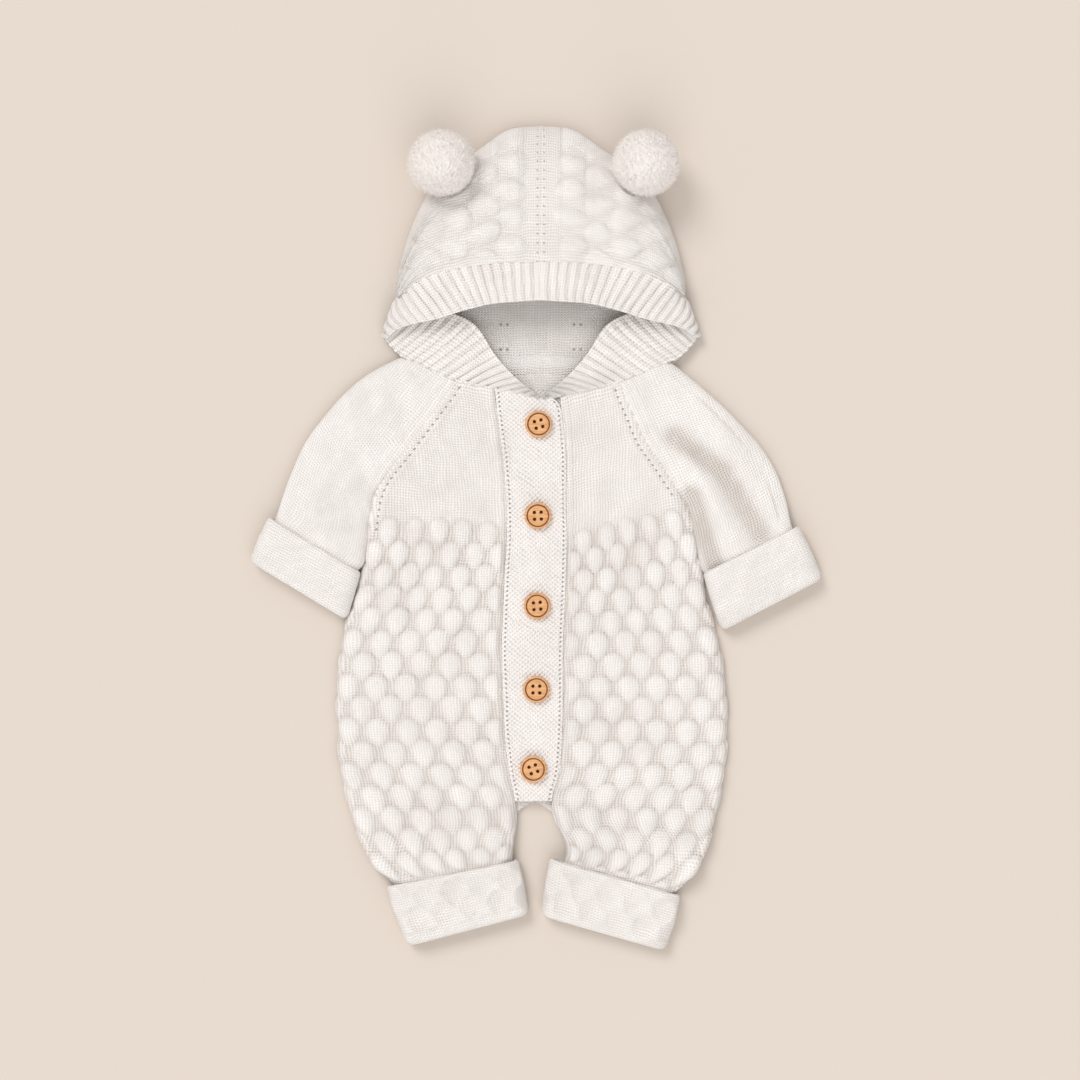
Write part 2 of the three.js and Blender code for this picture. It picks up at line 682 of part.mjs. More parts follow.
// A stretch of the ribbed band: its ribs run from the seam to the free edge.
function bandStretch(rows, side) {
  const seam = edge(rows, "seamX", "seamY", "seamZ");
  const middle = edge(rows, "middleX", "middleY", "middleZ");
  const free = edge(rows, "freeX", "freeY", "freeZ");
  const middleLength = rows.slice(1).reduce(
    (sum, row, i) => sum + Math.hypot(row.middleX - rows[i].middleX, row.middleY - rows[i].middleY),
    0,
  );
  const ribSteps = Math.round((middleLength / RIB_PITCH) * 2);
  const line = (t) => [seam(t), middle(t), free(t)];
  const place = (t, across) => {
    const [a, b, c] = line(t);
    const through = b.clone().multiplyScalar(2).sub(a.clone().add(c).multiplyScalar(0.5));
    const first = a.lerp(through, across);
    const second = through.clone().lerp(c, across);
    return first.lerp(second, across);
  };
  const normal = (t, across) => {
    const step = 0.02;
    const low = Math.max(t - step, 0);
    const high = Math.min(t + step, 1);
    const alongStrip = place(high, across).sub(place(low, across));
    const acrossStrip = place(t, Math.min(across + step, 1)).sub(place(t, Math.max(across - step, 0)));
    return alongStrip.cross(acrossStrip).normalize();
  };
  const point = (t, across, lift) => {
    const found = place(t, across).addScaledVector(normal(t, across), lift);
    found.x = HOOD_CENTRE + side * found.x;
    return found;
  };
  const outer = steps(ribSteps).map((t, i) =>
    steps(3).map((across) => point(t, across, i % 2 === 0 ? 0 : -RIB_HEIGHT)),
  );
  const inner = steps(10).map((t) => steps(2).map((across) => point(t, across, -KNIT_THICKNESS)));
  return wall(outer, inner);
}

function hoodBand(side) {
  return join(bandStretch(BAND_UPPER, side), bandStretch(BAND_LOWER, side));
}

// The button strip, in two layers: the one that shows, with a rounded corner at its free edge, and the
// one under it.
function placket(bottom, top, swell, corner, count) {
  const left = edge(FRONT_LEFT, "innerX", "innerY");
  const right = edge(FRONT_RIGHT, "innerX", "innerY");
  const lastPlace = PLACKET_LAST_ROW / (FRONT_LEFT.length - 1);
  const layer = (level, swelling, acrossCount) =>
    steps(count, 0, lastPlace).map((t) => {
      const start = left(t);
      const end = right(t);
      const fromTop = THREE.MathUtils.clamp(1 - (right(0).y - end.y) / PLACKET_CORNER, 0, 1);
      start.x += PLACKET_GAP;
      end.x -= PLACKET_GAP + corner * (1 - Math.sqrt(1 - fromTop * fromTop));
      return steps(acrossCount).map((across) => {
        const place = start.clone().lerp(end, across);
        place.y -= PLACKET_NECK_SAG * Math.sin(Math.PI * across) * fromTop;
        place.z = level + swelling * Math.sin(Math.PI * across);
        return place;
      });
    });
  return wall(layer(top, swell, 4), layer(bottom, 0, swell ? 2 : 4));
}

// A pompom: a ball of separate blunt tufts, joined only at its core.
function pompom() {
  const ball = new THREE.IcosahedronGeometry(1, 1);
  const positions = ball.attributes.position;
  const corners = [];
  for (let i = 0; i < positions.count; i += 3) {
    const face = [0, 1, 2].map((k) => new THREE.Vector3().fromBufferAttribute(positions, i + k));
    const centre = face[0].clone().add(face[1]).add(face[2]).divideScalar(3);
    const core = face.map((corner) => corner.clone().multiplyScalar(POMPOM_CORE_RADIUS));
    const root = face.map((corner) => centre.clone().lerp(corner, 0.85).multiplyScalar(POMPOM_CORE_RADIUS));
    const tip = face.map((corner) =>
      centre.clone().lerp(corner, 0.5).normalize().multiplyScalar(POMPOM_RADIUS),
    );
    [0, 1, 2].forEach((k) => {
      const next = (k + 1) % 3;
      addQuad(corners, core[k], core[next], root[next], root[k]);
      addQuad(corners, root[k], root[next], tip[next], tip[k]);
    });
    corners.push(tip);
  }
  return bodyFromTriangles(corners);
}

// A wooden button with a raised rim, a groove inside it and four holes.
function button() {
  const profile = table(["radius", "height"], [
    [0, 0],
    [7.6, 0],
    [BUTTON_RADIUS, 1.3],
    [BUTTON_RADIUS, 2.7],
    [8.2, BUTTON_THICKNESS],
    [6.9, BUTTON_THICKNESS - 0.1],
    [6.2, 2.4],
    [0, 2.6],
  ]).map(({ radius, height }) => new THREE.Vector2(radius, height));
  const disc = new THREE.LatheGeometry(profile, 14);
  disc.rotateX(Math.PI / 2);
  let solid = toSolid(disc);
  for (const x of [-BUTTON_HOLE_SPACING, BUTTON_HOLE_SPACING]) {
    for (const y of [-BUTTON_HOLE_SPACING, BUTTON_HOLE_SPACING]) {
      const hole = new THREE.CylinderGeometry(BUTTON_HOLE_RADIUS, BUTTON_HOLE_RADIUS, 8, 6);
      hole.rotateX(Math.PI / 2);
      hole.translate(x, y, 1.5);
      solid = solid.subtract(toSolid(hole));
    }
  }
  return fromSolid(solid);
}

const WOOL_COLOUR = 0xf6f1ed;
const WOOD_COLOUR = 0xe0a36c;

function named(name, geometry, colour = WOOL_COLOUR, roughness = 0.95) {
  const material = new THREE.MeshStandardMaterial({ color: colour, roughness, metalness: 0 });
  const mesh = new THREE.Mesh(geometry, material);
  mesh.name = name;
  return mesh;
}

const group = new THREE.Group();

group.add(named("back", join(backHalf(FRONT_LEFT, -1), backHalf(FRONT_RIGHT, 1))));
group.add(named("front_left", frontPanel(FRONT_LEFT)));
group.add(named("front_right", frontPanel(FRONT_RIGHT)));
const placketMiddle = SEAM_LEVEL + KNIT_THICKNESS;
group.add(named("placket_under", placket(SEAM_LEVEL, placketMiddle - SEAM_GAP, 0, 0, 13)));
group.add(named("placket_top", placket(placketMiddle, FRONT_TOP, PLACKET_SWELL, PLACKET_CORNER, 26)));
group.add(named("sleeve_left", sleeve(SLEEVE_LEFT)));
group.add(named("sleeve_right", sleeve(SLEEVE_RIGHT)));
for (const [name, rows] of Object.entries(CUFFS)) {
  group.add(named(name, cuff(rows)));
}
group.add(named("hood_left", hoodHalf(-1)));
group.add(named("hood_right", hoodHalf(1)));
group.add(named("hood_band_left", hoodBand(-1)));
group.add(named("hood_band_right", hoodBand(1)));
for (const { side, x, y } of POMPOM_PLACES) {
  const mesh = named("pompom_" + side, pompom());
  mesh.position.set(x, y, POMPOM_LEVEL);
  group.add(mesh);
}
BUTTONS.forEach(({ x, y, turn }, i) => {
  const mesh = named("button_" + (i + 1), button(), WOOD_COLOUR, 0.5);
  mesh.position.set(x, y, BUTTON_LEVEL);
  mesh.rotation.z = THREE.MathUtils.degToRad(turn);
  group.add(mesh);
});

// The part rests on Z = 0 with the middle of its plan at the origin.
const box = new THREE.Box3().setFromObject(group, true);
const middleOfBox = box.getCenter(new THREE.Vector3());
group.position.set(-middleOfBox.x, -middleOfBox.y, -box.min.z);

export default group;
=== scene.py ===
import math

import bmesh
import bpy
import numpy as np
from mathutils import Matrix


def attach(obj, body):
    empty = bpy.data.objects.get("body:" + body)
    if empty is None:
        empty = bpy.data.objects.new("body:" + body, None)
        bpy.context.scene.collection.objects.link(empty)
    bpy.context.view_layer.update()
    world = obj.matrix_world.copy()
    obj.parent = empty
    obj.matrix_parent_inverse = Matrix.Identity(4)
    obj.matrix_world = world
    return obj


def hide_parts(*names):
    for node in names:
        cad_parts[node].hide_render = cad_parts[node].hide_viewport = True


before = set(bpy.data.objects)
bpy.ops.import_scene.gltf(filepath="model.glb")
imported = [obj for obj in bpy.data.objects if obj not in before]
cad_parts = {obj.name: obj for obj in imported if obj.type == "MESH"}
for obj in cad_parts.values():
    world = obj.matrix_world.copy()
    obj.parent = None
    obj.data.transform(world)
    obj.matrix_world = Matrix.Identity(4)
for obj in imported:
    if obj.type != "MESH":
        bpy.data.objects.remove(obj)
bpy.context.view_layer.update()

# The shift from the tables' frame to the part's, where the garment's middle is at the origin
PART_SHIFT = np.array([0.267, -2.156, 0.0])

# Sizes that the solids have too
KNIT_THICKNESS = 3.0
BACK_TOP = 3.0
SEAM_LEVEL = 3.3
FRONT_TOP = 9.3
CUFF_LIFT = 3.3
EDGE_ROUNDING = 9.0
SHORTEST_ROUNDING = 0.5
LEG_EASE = 0.6
BACK_NECK_Y = 117.8
CROTCH = (-1.35, -176.0)

BUBBLE_ROW_PITCH = 14.9
BUBBLE_COLUMNS = 5.6
BUBBLE_SHIFT = -0.25
BUBBLE_HEIGHT = 3.8
BUBBLE_HALF_LENGTH = 0.70
DROP_WIDTH = 0.95
DROP_TAPER = 0.85
YOKE_END = 15.0
BUBBLES_END = -212.0
RIB_PITCH = 6.3

HOOD_CENTRE = 3.0
HOOD_FOLD_LEVEL = 5.0
HOOD_ROUNDING = 0.8
HOOD_ROW_PITCH = 18.6
HOOD_COLUMN_PITCH = 18.9
HOOD_FIRST_BUBBLE = 271.0
HOOD_HALF_LENGTH = 0.6

PLACKET_LAST_ROW = 11
PLACKET_CORNER = 9.0
PLACKET_SWELL = 0.8
POMPOM_RADIUS = 23.0
POMPOM_LEVEL = 31.0
POMPOM_CLEARANCE = 1.2
POMPOM_PLACES = {"left": (-63.0, 251.0), "right": (73.0, 251.0)}
BUTTON_HOLE_RADIUS = 1.15
BUTTON_HOLE_SPACING = 2.3
BUTTON_LEVEL = 10.4

# The yarn's relief, finer here than in the solids
BUBBLE_HALF_WIDTH = 0.43
SIDE_BUMP = 1.6
HOOD_BUBBLE_HEIGHT = 2.9
HOOD_LUMPS = 0.4
RIB_HEIGHT = 1.9
RAGLAN_RIDGE = 0.9
CUFF_LATTICE = (19.0, 15.0)
DIMPLE_DEPTH = 2.9
# How much painted shade the yoke is spared, and the fold depth at which a crease's painted shade is full
YOKE_LESS_SHADE = 0.6
DEEP_FOLD = 4.0
NECK_TAPE = 5.2
INSIDE_EYELET_ROW = 128.6
POMPOM_STRANDS = 3600
POMPOM_PILE = 1.6
POMPOM_TUFT = 0.9

# How far the pieces lap, tuck and close up, so that no gap shows
BAND_LAP = 1.5
BAND_LAP_DROP = 8.0
PLACKET_NECK_SAG = 1.5
PLACKET_TUCK = 5.0
PLACKET_GAP = 0.1
SEAM_CLOSING = 0.16
SIDE_CLOSING = 0.5
JOIN_OVERLAP = 0.7
SLEEVE_OVERLAP = 1.2
UNDERARM_TUCK = 3.2
SEAM_LAP = 2.2

# The mesh: its spacing, the angle above which its edges stay sharp, and the seam map's value far from seams
MESH_SPACING = 1.25
SHARP_ANGLE = math.radians(80)
NO_SEAM = 60.0


def table(columns, rows):
    return {name: np.array([row[i] for row in rows], float) for i, name in enumerate(columns)}


PANEL_COLUMNS = ("inner_x", "inner_y", "outer_x", "outer_y", "inner_drop", "outer_drop", "lift")

# The two fronts, from the neck to the leg's end
FRONT_LEFT = table(PANEL_COLUMNS, [
    (-28.5, 100.5, -54, 106.5, 0, 0, 0),
    (-25.5, 78, -70.5, 84, 0, 0, 0),
    (-22.5, 54.5, -89, 59, 0, 0, 0),
    (-20.5, 28.5, -107.5, 33.5, 0, 0.5, 0),
    (-20, 2.5, -113, 4.5, 0, 1, 0),
    (-21.5, -23.5, -117, -22.5, 0, 1, 0),
    (-22.5, -48.5, -126, -49, 0, 1, 0),
    (-23.5, -74, -131.5, -74, 0, 1, 0),
    (-22.5, -101, -134, -101, 0, 1, 0),
    (-21.5, -128, -133.5, -128, 0, 1, 0),
    (-18.5, -155, -131.5, -154, 0, 1, 0),
    (-14.5, -175, -126, -176.5, 0.3, 1, 0),
    (-13, -188.5, -122, -192.5, 1, 1, 1),
    (-15, -202, -115.5, -206, 1, 1, 2.2),
    (-16, -211, -108.5, -220, 1, 1, CUFF_LIFT),
    (-16, -218, -97.5, -229, 1, 1, CUFF_LIFT),
    (-15, -226, -92, -238, 1, 1, CUFF_LIFT),
    (-11.5, -246, -83.5, -264, 1, 1, CUFF_LIFT),
])

FRONT_RIGHT = table(PANEL_COLUMNS, [
    (16, 94, 56.5, 105.6, 0, 0, 0),
    (18.5, 74.5, 64.5, 86.5, 0, 0, 0),
    (20, 54.5, 73, 66.5, 0, 0, 0),
    (20, 29.5, 85.5, 48.5, 0, 0.5, 0),
    (20.5, 2.5, 103, 18.5, 0, 1, 0),
    (20, -23.5, 109.5, -14.5, 0, 1, 0),
    (19, -48.5, 115, -43, 0, 1, 0),
    (18, -74, 123, -71, 0, 1, 0),
    (18, -101, 127, -100, 0, 1, 0),
    (17.5, -128, 128, -128.5, 0, 1, 0),
    (15.5, -155, 126, -155.5, 0, 1, 0),
    (10.5, -175, 122, -178, 0.3, 1, 0),
    (12, -187.5, 119, -191.5, 1, 1, 1),
    (18.5, -201, 114.5, -206, 1, 1, 2.2),
    (20, -210, 106.5, -224, 1, 1, CUFF_LIFT),
    (18, -217, 95.5, -234.5, 1, 1, CUFF_LIFT),
    (15.5, -226, 89, -243, 1, 1, CUFF_LIFT),
    (10.5, -247, 80, -266.5, 1, 1, CUFF_LIFT),
])

SLEEVE_COLUMNS = ("seam_x", "seam_y", "fold_x", "fold_y", "drop", "lift")

# The sleeves, from the neck to the end inside the cuff
SLEEVE_LEFT = table(SLEEVE_COLUMNS, [
    (-54.8, 106.9, -91, 123.5, 0, 0),
    (-71.2, 84.6, -111.5, 113, 0, 0),
    (-89.7, 59.7, -128.5, 99.5, 0, 0),
    (-108.3, 34.2, -143.5, 82.5, 0.5, 0),
    (-114.4, 18.5, -155.5, 66, 1, 0),
    (-117, 0.5, -165.5, 44, 1, 1.5),
    (-119.5, -14, -172, 25, 1, CUFF_LIFT),
    (-122.5, -23.5, -176, 12.5, 1, CUFF_LIFT),
    (-129.5, -46.5, -185, -11, 1, CUFF_LIFT),
])

SLEEVE_RIGHT = table(SLEEVE_COLUMNS, [
    (57.1, 105.6, 90, 120.6, 0, 0),
    (65.7, 87.3, 113, 101.5, 0, 0),
    (74.9, 67.6, 129.5, 86.5, 0, 0),
    (86.9, 49.7, 141.5, 74, 0.5, 0),
    (103, 28, 152, 62, 1, 0),
    (108.5, 11, 161, 46.5, 1, 1.5),
    (112, -6, 168, 26, 1, CUFF_LIFT),
    (115, -20, 171, 12, 1, CUFF_LIFT),
    (117, -27, 173.5, 5, 1, CUFF_LIFT),
    (126.5, -55, 185, -22.5, 1, CUFF_LIFT),
])

CUFF_COLUMNS = ("left_x", "left_y", "right_x", "right_y")

# The turned-up cuffs, from the upper edge to the fold at the lower end
CUFFS = {
    "sleeve_cuff_left": table(CUFF_COLUMNS, [
        (-180, 16, -118, -21.5),
        (-187.5, 0.5, -122.5, -37.5),
        (-193, -14, -127.5, -53.5),
    ]),
    "sleeve_cuff_right": table(CUFF_COLUMNS, [
        (112, -22, 176.5, 10),
        (117.5, -41, 185.5, -8),
        (124.5, -61, 192.5, -25.5),
    ]),
    "leg_cuff_left": table(CUFF_COLUMNS, [
        (-101, -232.5, -12, -214.5),
        (-95.5, -251, -8, -232),
        (-86.5, -272.5, -5, -251),
    ]),
    "leg_cuff_right": table(CUFF_COLUMNS, [
        (9, -213.5, 97, -238.5),
        (5.5, -232, 93, -257),
        (3, -252, 86.5, -275.5),
    ]),
}

# A half of the hood: the seam to the band with its height, the fold, and the back of the neck
HOOD_HALF = table(("seam_x", "seam_y", "seam_z", "fold_x", "fold_y", "neck_x", "neck_y"), [
    (0.15, 186.2, 28.5, 0.15, 279, 0.15, 118.3),
    (19, 185.7, 28, 21.5, 276.5, 20, 116.5),
    (42, 184.1, 27, 43.5, 262, 40, 112.5),
    (59.5, 181, 25, 62, 250, 56, 108.5),
    (74.5, 176.5, 22.5, 76.5, 233, 69, 114),
    (86, 170.5, 19.5, 87, 211.5, 80, 119),
    (93, 166, 17, 93.5, 191.5, 89, 124),
    (96.5, 163.5, 15, 97.5, 175, 95, 129),
])

BAND_COLUMNS = (
    "seam_x", "seam_y", "seam_z", "middle_x", "middle_y", "middle_z", "free_x", "free_y", "free_z",
)

BAND_UPPER = table(BAND_COLUMNS, [
    (107, 139.5, 5, 107.5, 137.5, 8.5, 103.5, 135.5, 10),
    (103.5, 149.5, 6, 104, 145, 12, 97.5, 140.5, 14),
    (99, 160, 10, 97.5, 152, 17, 89.5, 143.5, 18),
    (87.5, 168.7, 19.5, 79, 158.5, 22.5, 71, 147.5, 22),
    (67.5, 178, 24.5, 60, 165.5, 27.5, 51.5, 153, 27),
    (42, 183.6, 27, 38, 170.5, 30, 34, 157, 30),
    (20.5, 185.3, 28, 19, 172, 31, 18, 158.5, 31.5),
    (0.15, 185.8, 28.5, 0.15, 172.5, 31.5, 0.15, 159.5, 32),
])

BAND_LOWER = table(BAND_COLUMNS, [
    (2, 94.3, 9.3, 1.5, 95.7, 10, 1, 97.5, 10),
    (31.5, 101.2, 9.3, 22, 104, 11.5, 13.5, 106, 12),
    (57, 107.6, 9.3, 44, 116, 12, 30.5, 124, 12.5),
    (78.5, 117.2, 9.3, 61.5, 129.5, 11.5, 45, 145, 12),
    (93.5, 124.6, 9, 78, 137.5, 10.5, 64, 153, 11),
    (101.5, 132.5, 8, 92, 141, 10, 83, 150, 11),
    (106, 138, 7.5, 102, 141.5, 9, 97.5, 144.5, 10),
])

BUTTONS = table(("x", "y", "turn"), [
    (1.5, 78, 15),
    (1, 16.5, 2),
    (0.5, -44, 5),
    (0, -100, 0),
    (-2, -153.5, 20),
])

# Soft folds of the top layer: a trough along a line, with its half width and depth
FOLDS = table(("from_x", "from_y", "to_x", "to_y", "half_width", "depth"), [
    (93, 70, 124, 47, 8, 3.8),
    (124, 47, 150, 5, 8, 3.8),
    (-118, 40, -140, 20, 8, 1.2),
    (-126, 10, -150, 8, 7, 1),
    (-95, 20, -70, -5, 9, 0.8),
    (85, 12, 60, -12, 9, 0.8),
    (-60, -190, -20, -180, 8, 1),
    (60, -192, 25, -180, 8, 1),
    (104, 30, 120, -18, 7, 4.5),
])

# Soft ridges beside the folds, with their half width and height
RIDGES = table(("from_x", "from_y", "to_x", "to_y", "half_width", "depth"), [
    (103, 56, 134, -3, 6, 2.6),
    (112, 88, 158, 22, 8, 2.2),
    (-100, 85, -152, 32, 9, 1.6),
    (-112, 62, -142, 5, 8, 1.2),
    (-45, 60, -70, 20, 10, 0.9),
    (50, 70, 70, 35, 10, 0.9),
])

randoms = np.random.default_rng(7)
BUBBLE_VARIATION = randoms.uniform(-1, 1, (64, 64, 3))


def clamp(values, low=0.0, high=1.0):
    return np.clip(values, low, high)


def smoothstep(values, low, high):
    share = clamp((values - low) / (high - low))
    return share * share * (3 - 2 * share)


def bump_at(distance, width):
    return np.exp(-((distance / width) ** 2))


def norm(vectors):
    return np.linalg.norm(vectors, axis=-1)


def unit(vectors):
    return vectors / norm(vectors)[..., None]


def flat_distance(a, b):
    return np.hypot(a[..., 0] - b[..., 0], a[..., 1] - b[..., 1])


# A grid between two lines of points, with the same shares across it in every row
def between(start, end, share):
    return start[:, None] + (end - start)[:, None] * share[None, :, None]


# A smooth line through a table's points, read by row number from 0 to 1 (centripetal Catmull-Rom)
def edge(rows, name):
    x, y = rows[name + "_x"], rows[name + "_y"]
    points = np.stack([x, y, rows.get(name + "_z", 0 * x)], 1)
    padded = np.vstack([2 * points[:1] - points[1:2], points, 2 * points[-1:] - points[-2:-1]])
    gaps = np.maximum(((padded[1:] - padded[:-1]) ** 2).sum(1) ** 0.25, 1e-4)

    def at(t):
        place = clamp(np.asarray(t, float)) * (len(points) - 1)
        row = np.minimum(place.astype(int), len(points) - 2)
        share = (place - row)[..., None]
        x0, x1, x2, x3 = (padded[row + k] for k in range(4))
        d0, d1, d2 = (gaps[row + k][..., None] for k in range(3))
        t1 = ((x1 - x0) / d0 - (x2 - x0) / (d0 + d1) + (x2 - x1) / d1) * d1
        t2 = ((x2 - x1) / d1 - (x3 - x1) / (d1 + d2) + (x3 - x2) / d2) * d1
        second = -3 * x1 + 3 * x2 - 2 * t1 - t2
        third = 2 * x1 - 2 * x2 + t1 + t2
        return x1 + t1 * share + second * share**2 + third * share**3

    return at


# A column of a table, read in the same way but straight from row to row
def column(rows, name):
    values = rows[name]
    places = np.linspace(0, 1, len(values))
    return lambda t: np.interp(t, places, values)


# The length that has been run along one axis of a grid of points
def running_length(grid, axis):
    lengths = np.cumsum(norm(np.diff(grid, axis=axis)), axis=axis)
    return np.concatenate([np.zeros_like(np.take(lengths, [0], axis=axis)), lengths], axis=axis)


# A line's length, and a function from a distance along it to its place from 0 to 1
def by_length(line):
    places = np.linspace(0, 1, 401)
    lengths = running_length(line(places), 0)
    return lengths[-1], lambda distance: np.interp(distance, lengths, places)


def rounded_edge(distance, radius):
    run = clamp(1 - distance / radius)
    return np.sqrt(1 - run * run)


def shrunk_rounding(drop, inset):
    return np.maximum(EDGE_ROUNDING * drop - inset, SHORTEST_ROUNDING)


# How deep the lines of a table reach at a place
def line_depth(lines, x, y):
    depth = np.zeros_like(x)
    for from_x, from_y, to_x, to_y, half_width, deepest in zip(*lines.values()):
        run_x, run_y = to_x - from_x, to_y - from_y
        share = clamp(((x - from_x) * run_x + (y - from_y) * run_y) / (run_x**2 + run_y**2))
        distance = np.hypot(x - from_x - share * run_x, y - from_y - share * run_y)
        depth = np.maximum(depth, deepest * bump_at(distance, half_width))
    return depth


# How far the folds press the top layer down, less the ridges beside them
def fold_depth(x, y):
    return line_depth(FOLDS, x, y) - line_depth(RIDGES, x, y)


# How creased a surface is, from 0 to 1, for its relief map, where it sets painted shade in the folds
def creases(points):
    return clamp(line_depth(FOLDS, points[..., 0], points[..., 1]) / DEEP_FOLD)


# The two ridges beside a raglan seam
def raglan_ridges(share, distance):
    return RAGLAN_RIDGE * share * (bump_at(distance - 2.6, 1.5) + bump_at(distance - 8.0, 1.7))


# A slow unevenness of hand-laid knit, in millimetres
def softness(x, y):
    slow = np.sin(x / 17 + 1.3 * np.sin(y / 29)) * np.sin(y / 23 + 0.8 * np.sin(x / 31))
    quick = np.sin(x / 7.3 + 2 + np.sin(y / 11)) * np.sin(y / 8.1 + np.sin(x / 13))
    return 0.45 * slow + 0.12 * quick


# Small lumps of loose, thick yarn, from -1 to 1
def lumps(x, y):
    return np.sin(1.25 * x + 1.5 * np.sin(0.4 * y)) * np.sin(1.1 * y + 1.5 * np.sin(0.35 * x))


# A bubble stitch's height from 0 to 1: staggered drops with a round top and a pointed lower end
def bubbles(column_place, row_place, half_length=BUBBLE_HALF_LENGTH, first_row=-1000, last_row=1000):
    height = np.zeros_like(column_place)
    for step in (0, 1):
        row = np.floor(row_place) + step
        stagger = np.where(row % 2 == 0, 0.0, 0.5)
        nearest = np.round(column_place - stagger) + stagger
        varied = BUBBLE_VARIATION[row.astype(int) % 64, np.floor(nearest).astype(int) % 64]
        along = clamp((row_place - row + 0.05 * varied[..., 0]) / half_length, -0.999, 0.999)
        outline = DROP_WIDTH * np.sqrt(1 + along) * (1 - along) ** DROP_TAPER
        across = (column_place - nearest + 0.04 * varied[..., 1]) / (BUBBLE_HALF_WIDTH * outline)
        crown = clamp(1 - across**2) ** 0.62 * clamp(outline) ** 0.8
        shown = (row >= first_row) & (row <= last_row)
        height = np.maximum(height, np.where(shown, crown * (1 + 0.16 * varied[..., 2]), 0))
    return height


# What the materials read at each point: the place in the knit, the distance from a seam and the place along
# it, all in millimetres, and the relief from 0 to 1, whose low places take painted shade
def knit_maps(u, v, away=NO_SEAM, along=NO_SEAM, relief=0.0):
    return np.stack(np.broadcast_arrays(u, v, away, along, relief, relief), -1)


# The corners of every square of a grid, in order around it
def squares(values, turn):
    corners = [values[:-1, :-1], values[1:, :-1], values[1:, 1:], values[:-1, 1:]]
    return np.stack(corners[::turn], 2)


# A grid with its first row and column repeated at its end, which closes it both ways
def looped(values):
    return np.pad(values, ((0, 1), (0, 1)), mode="wrap")


# A mesh put together from grids of points, with the maps for its materials
class Cloth:
    def __init__(self):
        self.points = []
        self.faces = []
        self.maps = []
        self.materials = []

    # Adds points, and gives their numbers in the same rows and columns
    def number(self, points):
        first = sum(len(part) for part in self.points)
        self.points.append(points.reshape(-1, 3))
        return first + np.arange(points.size // 3).reshape(points.shape[:2])

    def quads(self, index, maps, material=0, turn=1):
        self.faces.append(squares(index, turn).reshape(-1, 4))
        self.maps.append(squares(maps, turn).reshape(-1, 6))
        self.materials.append(np.full(len(self.faces[-1]), material))

    # Closes the gap between two lines of points that are already in the mesh
    def rim(self, first, second):
        along = np.arange(len(first)) * MESH_SPACING
        self.quads(np.stack([first, second]), knit_maps(along, np.array([[0.0], [KNIT_THICKNESS]])))

    # A wall between an outer and an inner grid of the same size
    def wall(self, outer, inner, maps, inside_maps=None):
        if inside_maps is None:
            inside_maps = knit_maps(maps[..., 0], maps[..., 1])
        top, low = self.number(outer), self.number(inner)
        self.quads(top, maps)
        self.quads(low, inside_maps, material=1, turn=-1)
        self.rim(top[0], low[0])
        self.rim(low[-1], top[-1])
        self.rim(low[:, 0], top[:, 0])
        self.rim(top[:, -1], low[:, -1])

    def build(self, name, materials, closed=True):
        points = (np.concatenate(self.points) + PART_SHIFT) / 1000
        faces = np.concatenate(self.faces)
        maps = np.concatenate(self.maps).reshape(-1, 4, 6)
        a, b, c, d = (points[faces[:, k]] for k in range(4))
        volume = ((a * np.cross(b, c)).sum() + (a * np.cross(c, d)).sum()) / 6
        if closed and volume < 0:
            faces, maps = faces[:, ::-1], maps[:, ::-1]
        mesh = bpy.data.meshes.new(name)
        mesh.from_pydata(points, [], faces, shade_flat=False)
        mesh.polygons.foreach_set("material_index", np.concatenate(self.materials).astype(np.int32))
        for k, layer in enumerate(("stitch", "seam", "relief")):
            values = maps[..., 2 * k : 2 * k + 2].astype(np.float32)
            mesh.uv_layers.new(name=layer).data.foreach_set("uv", values.ravel())
        for material in materials:
            mesh.materials.append(material)
        mesh.update()
        mesh.validate()
        mesh.set_sharp_from_angle(angle=SHARP_ANGLE)
        piece = bpy.data.objects.new(name, mesh)
        bpy.context.scene.collection.objects.link(piece)
        return piece


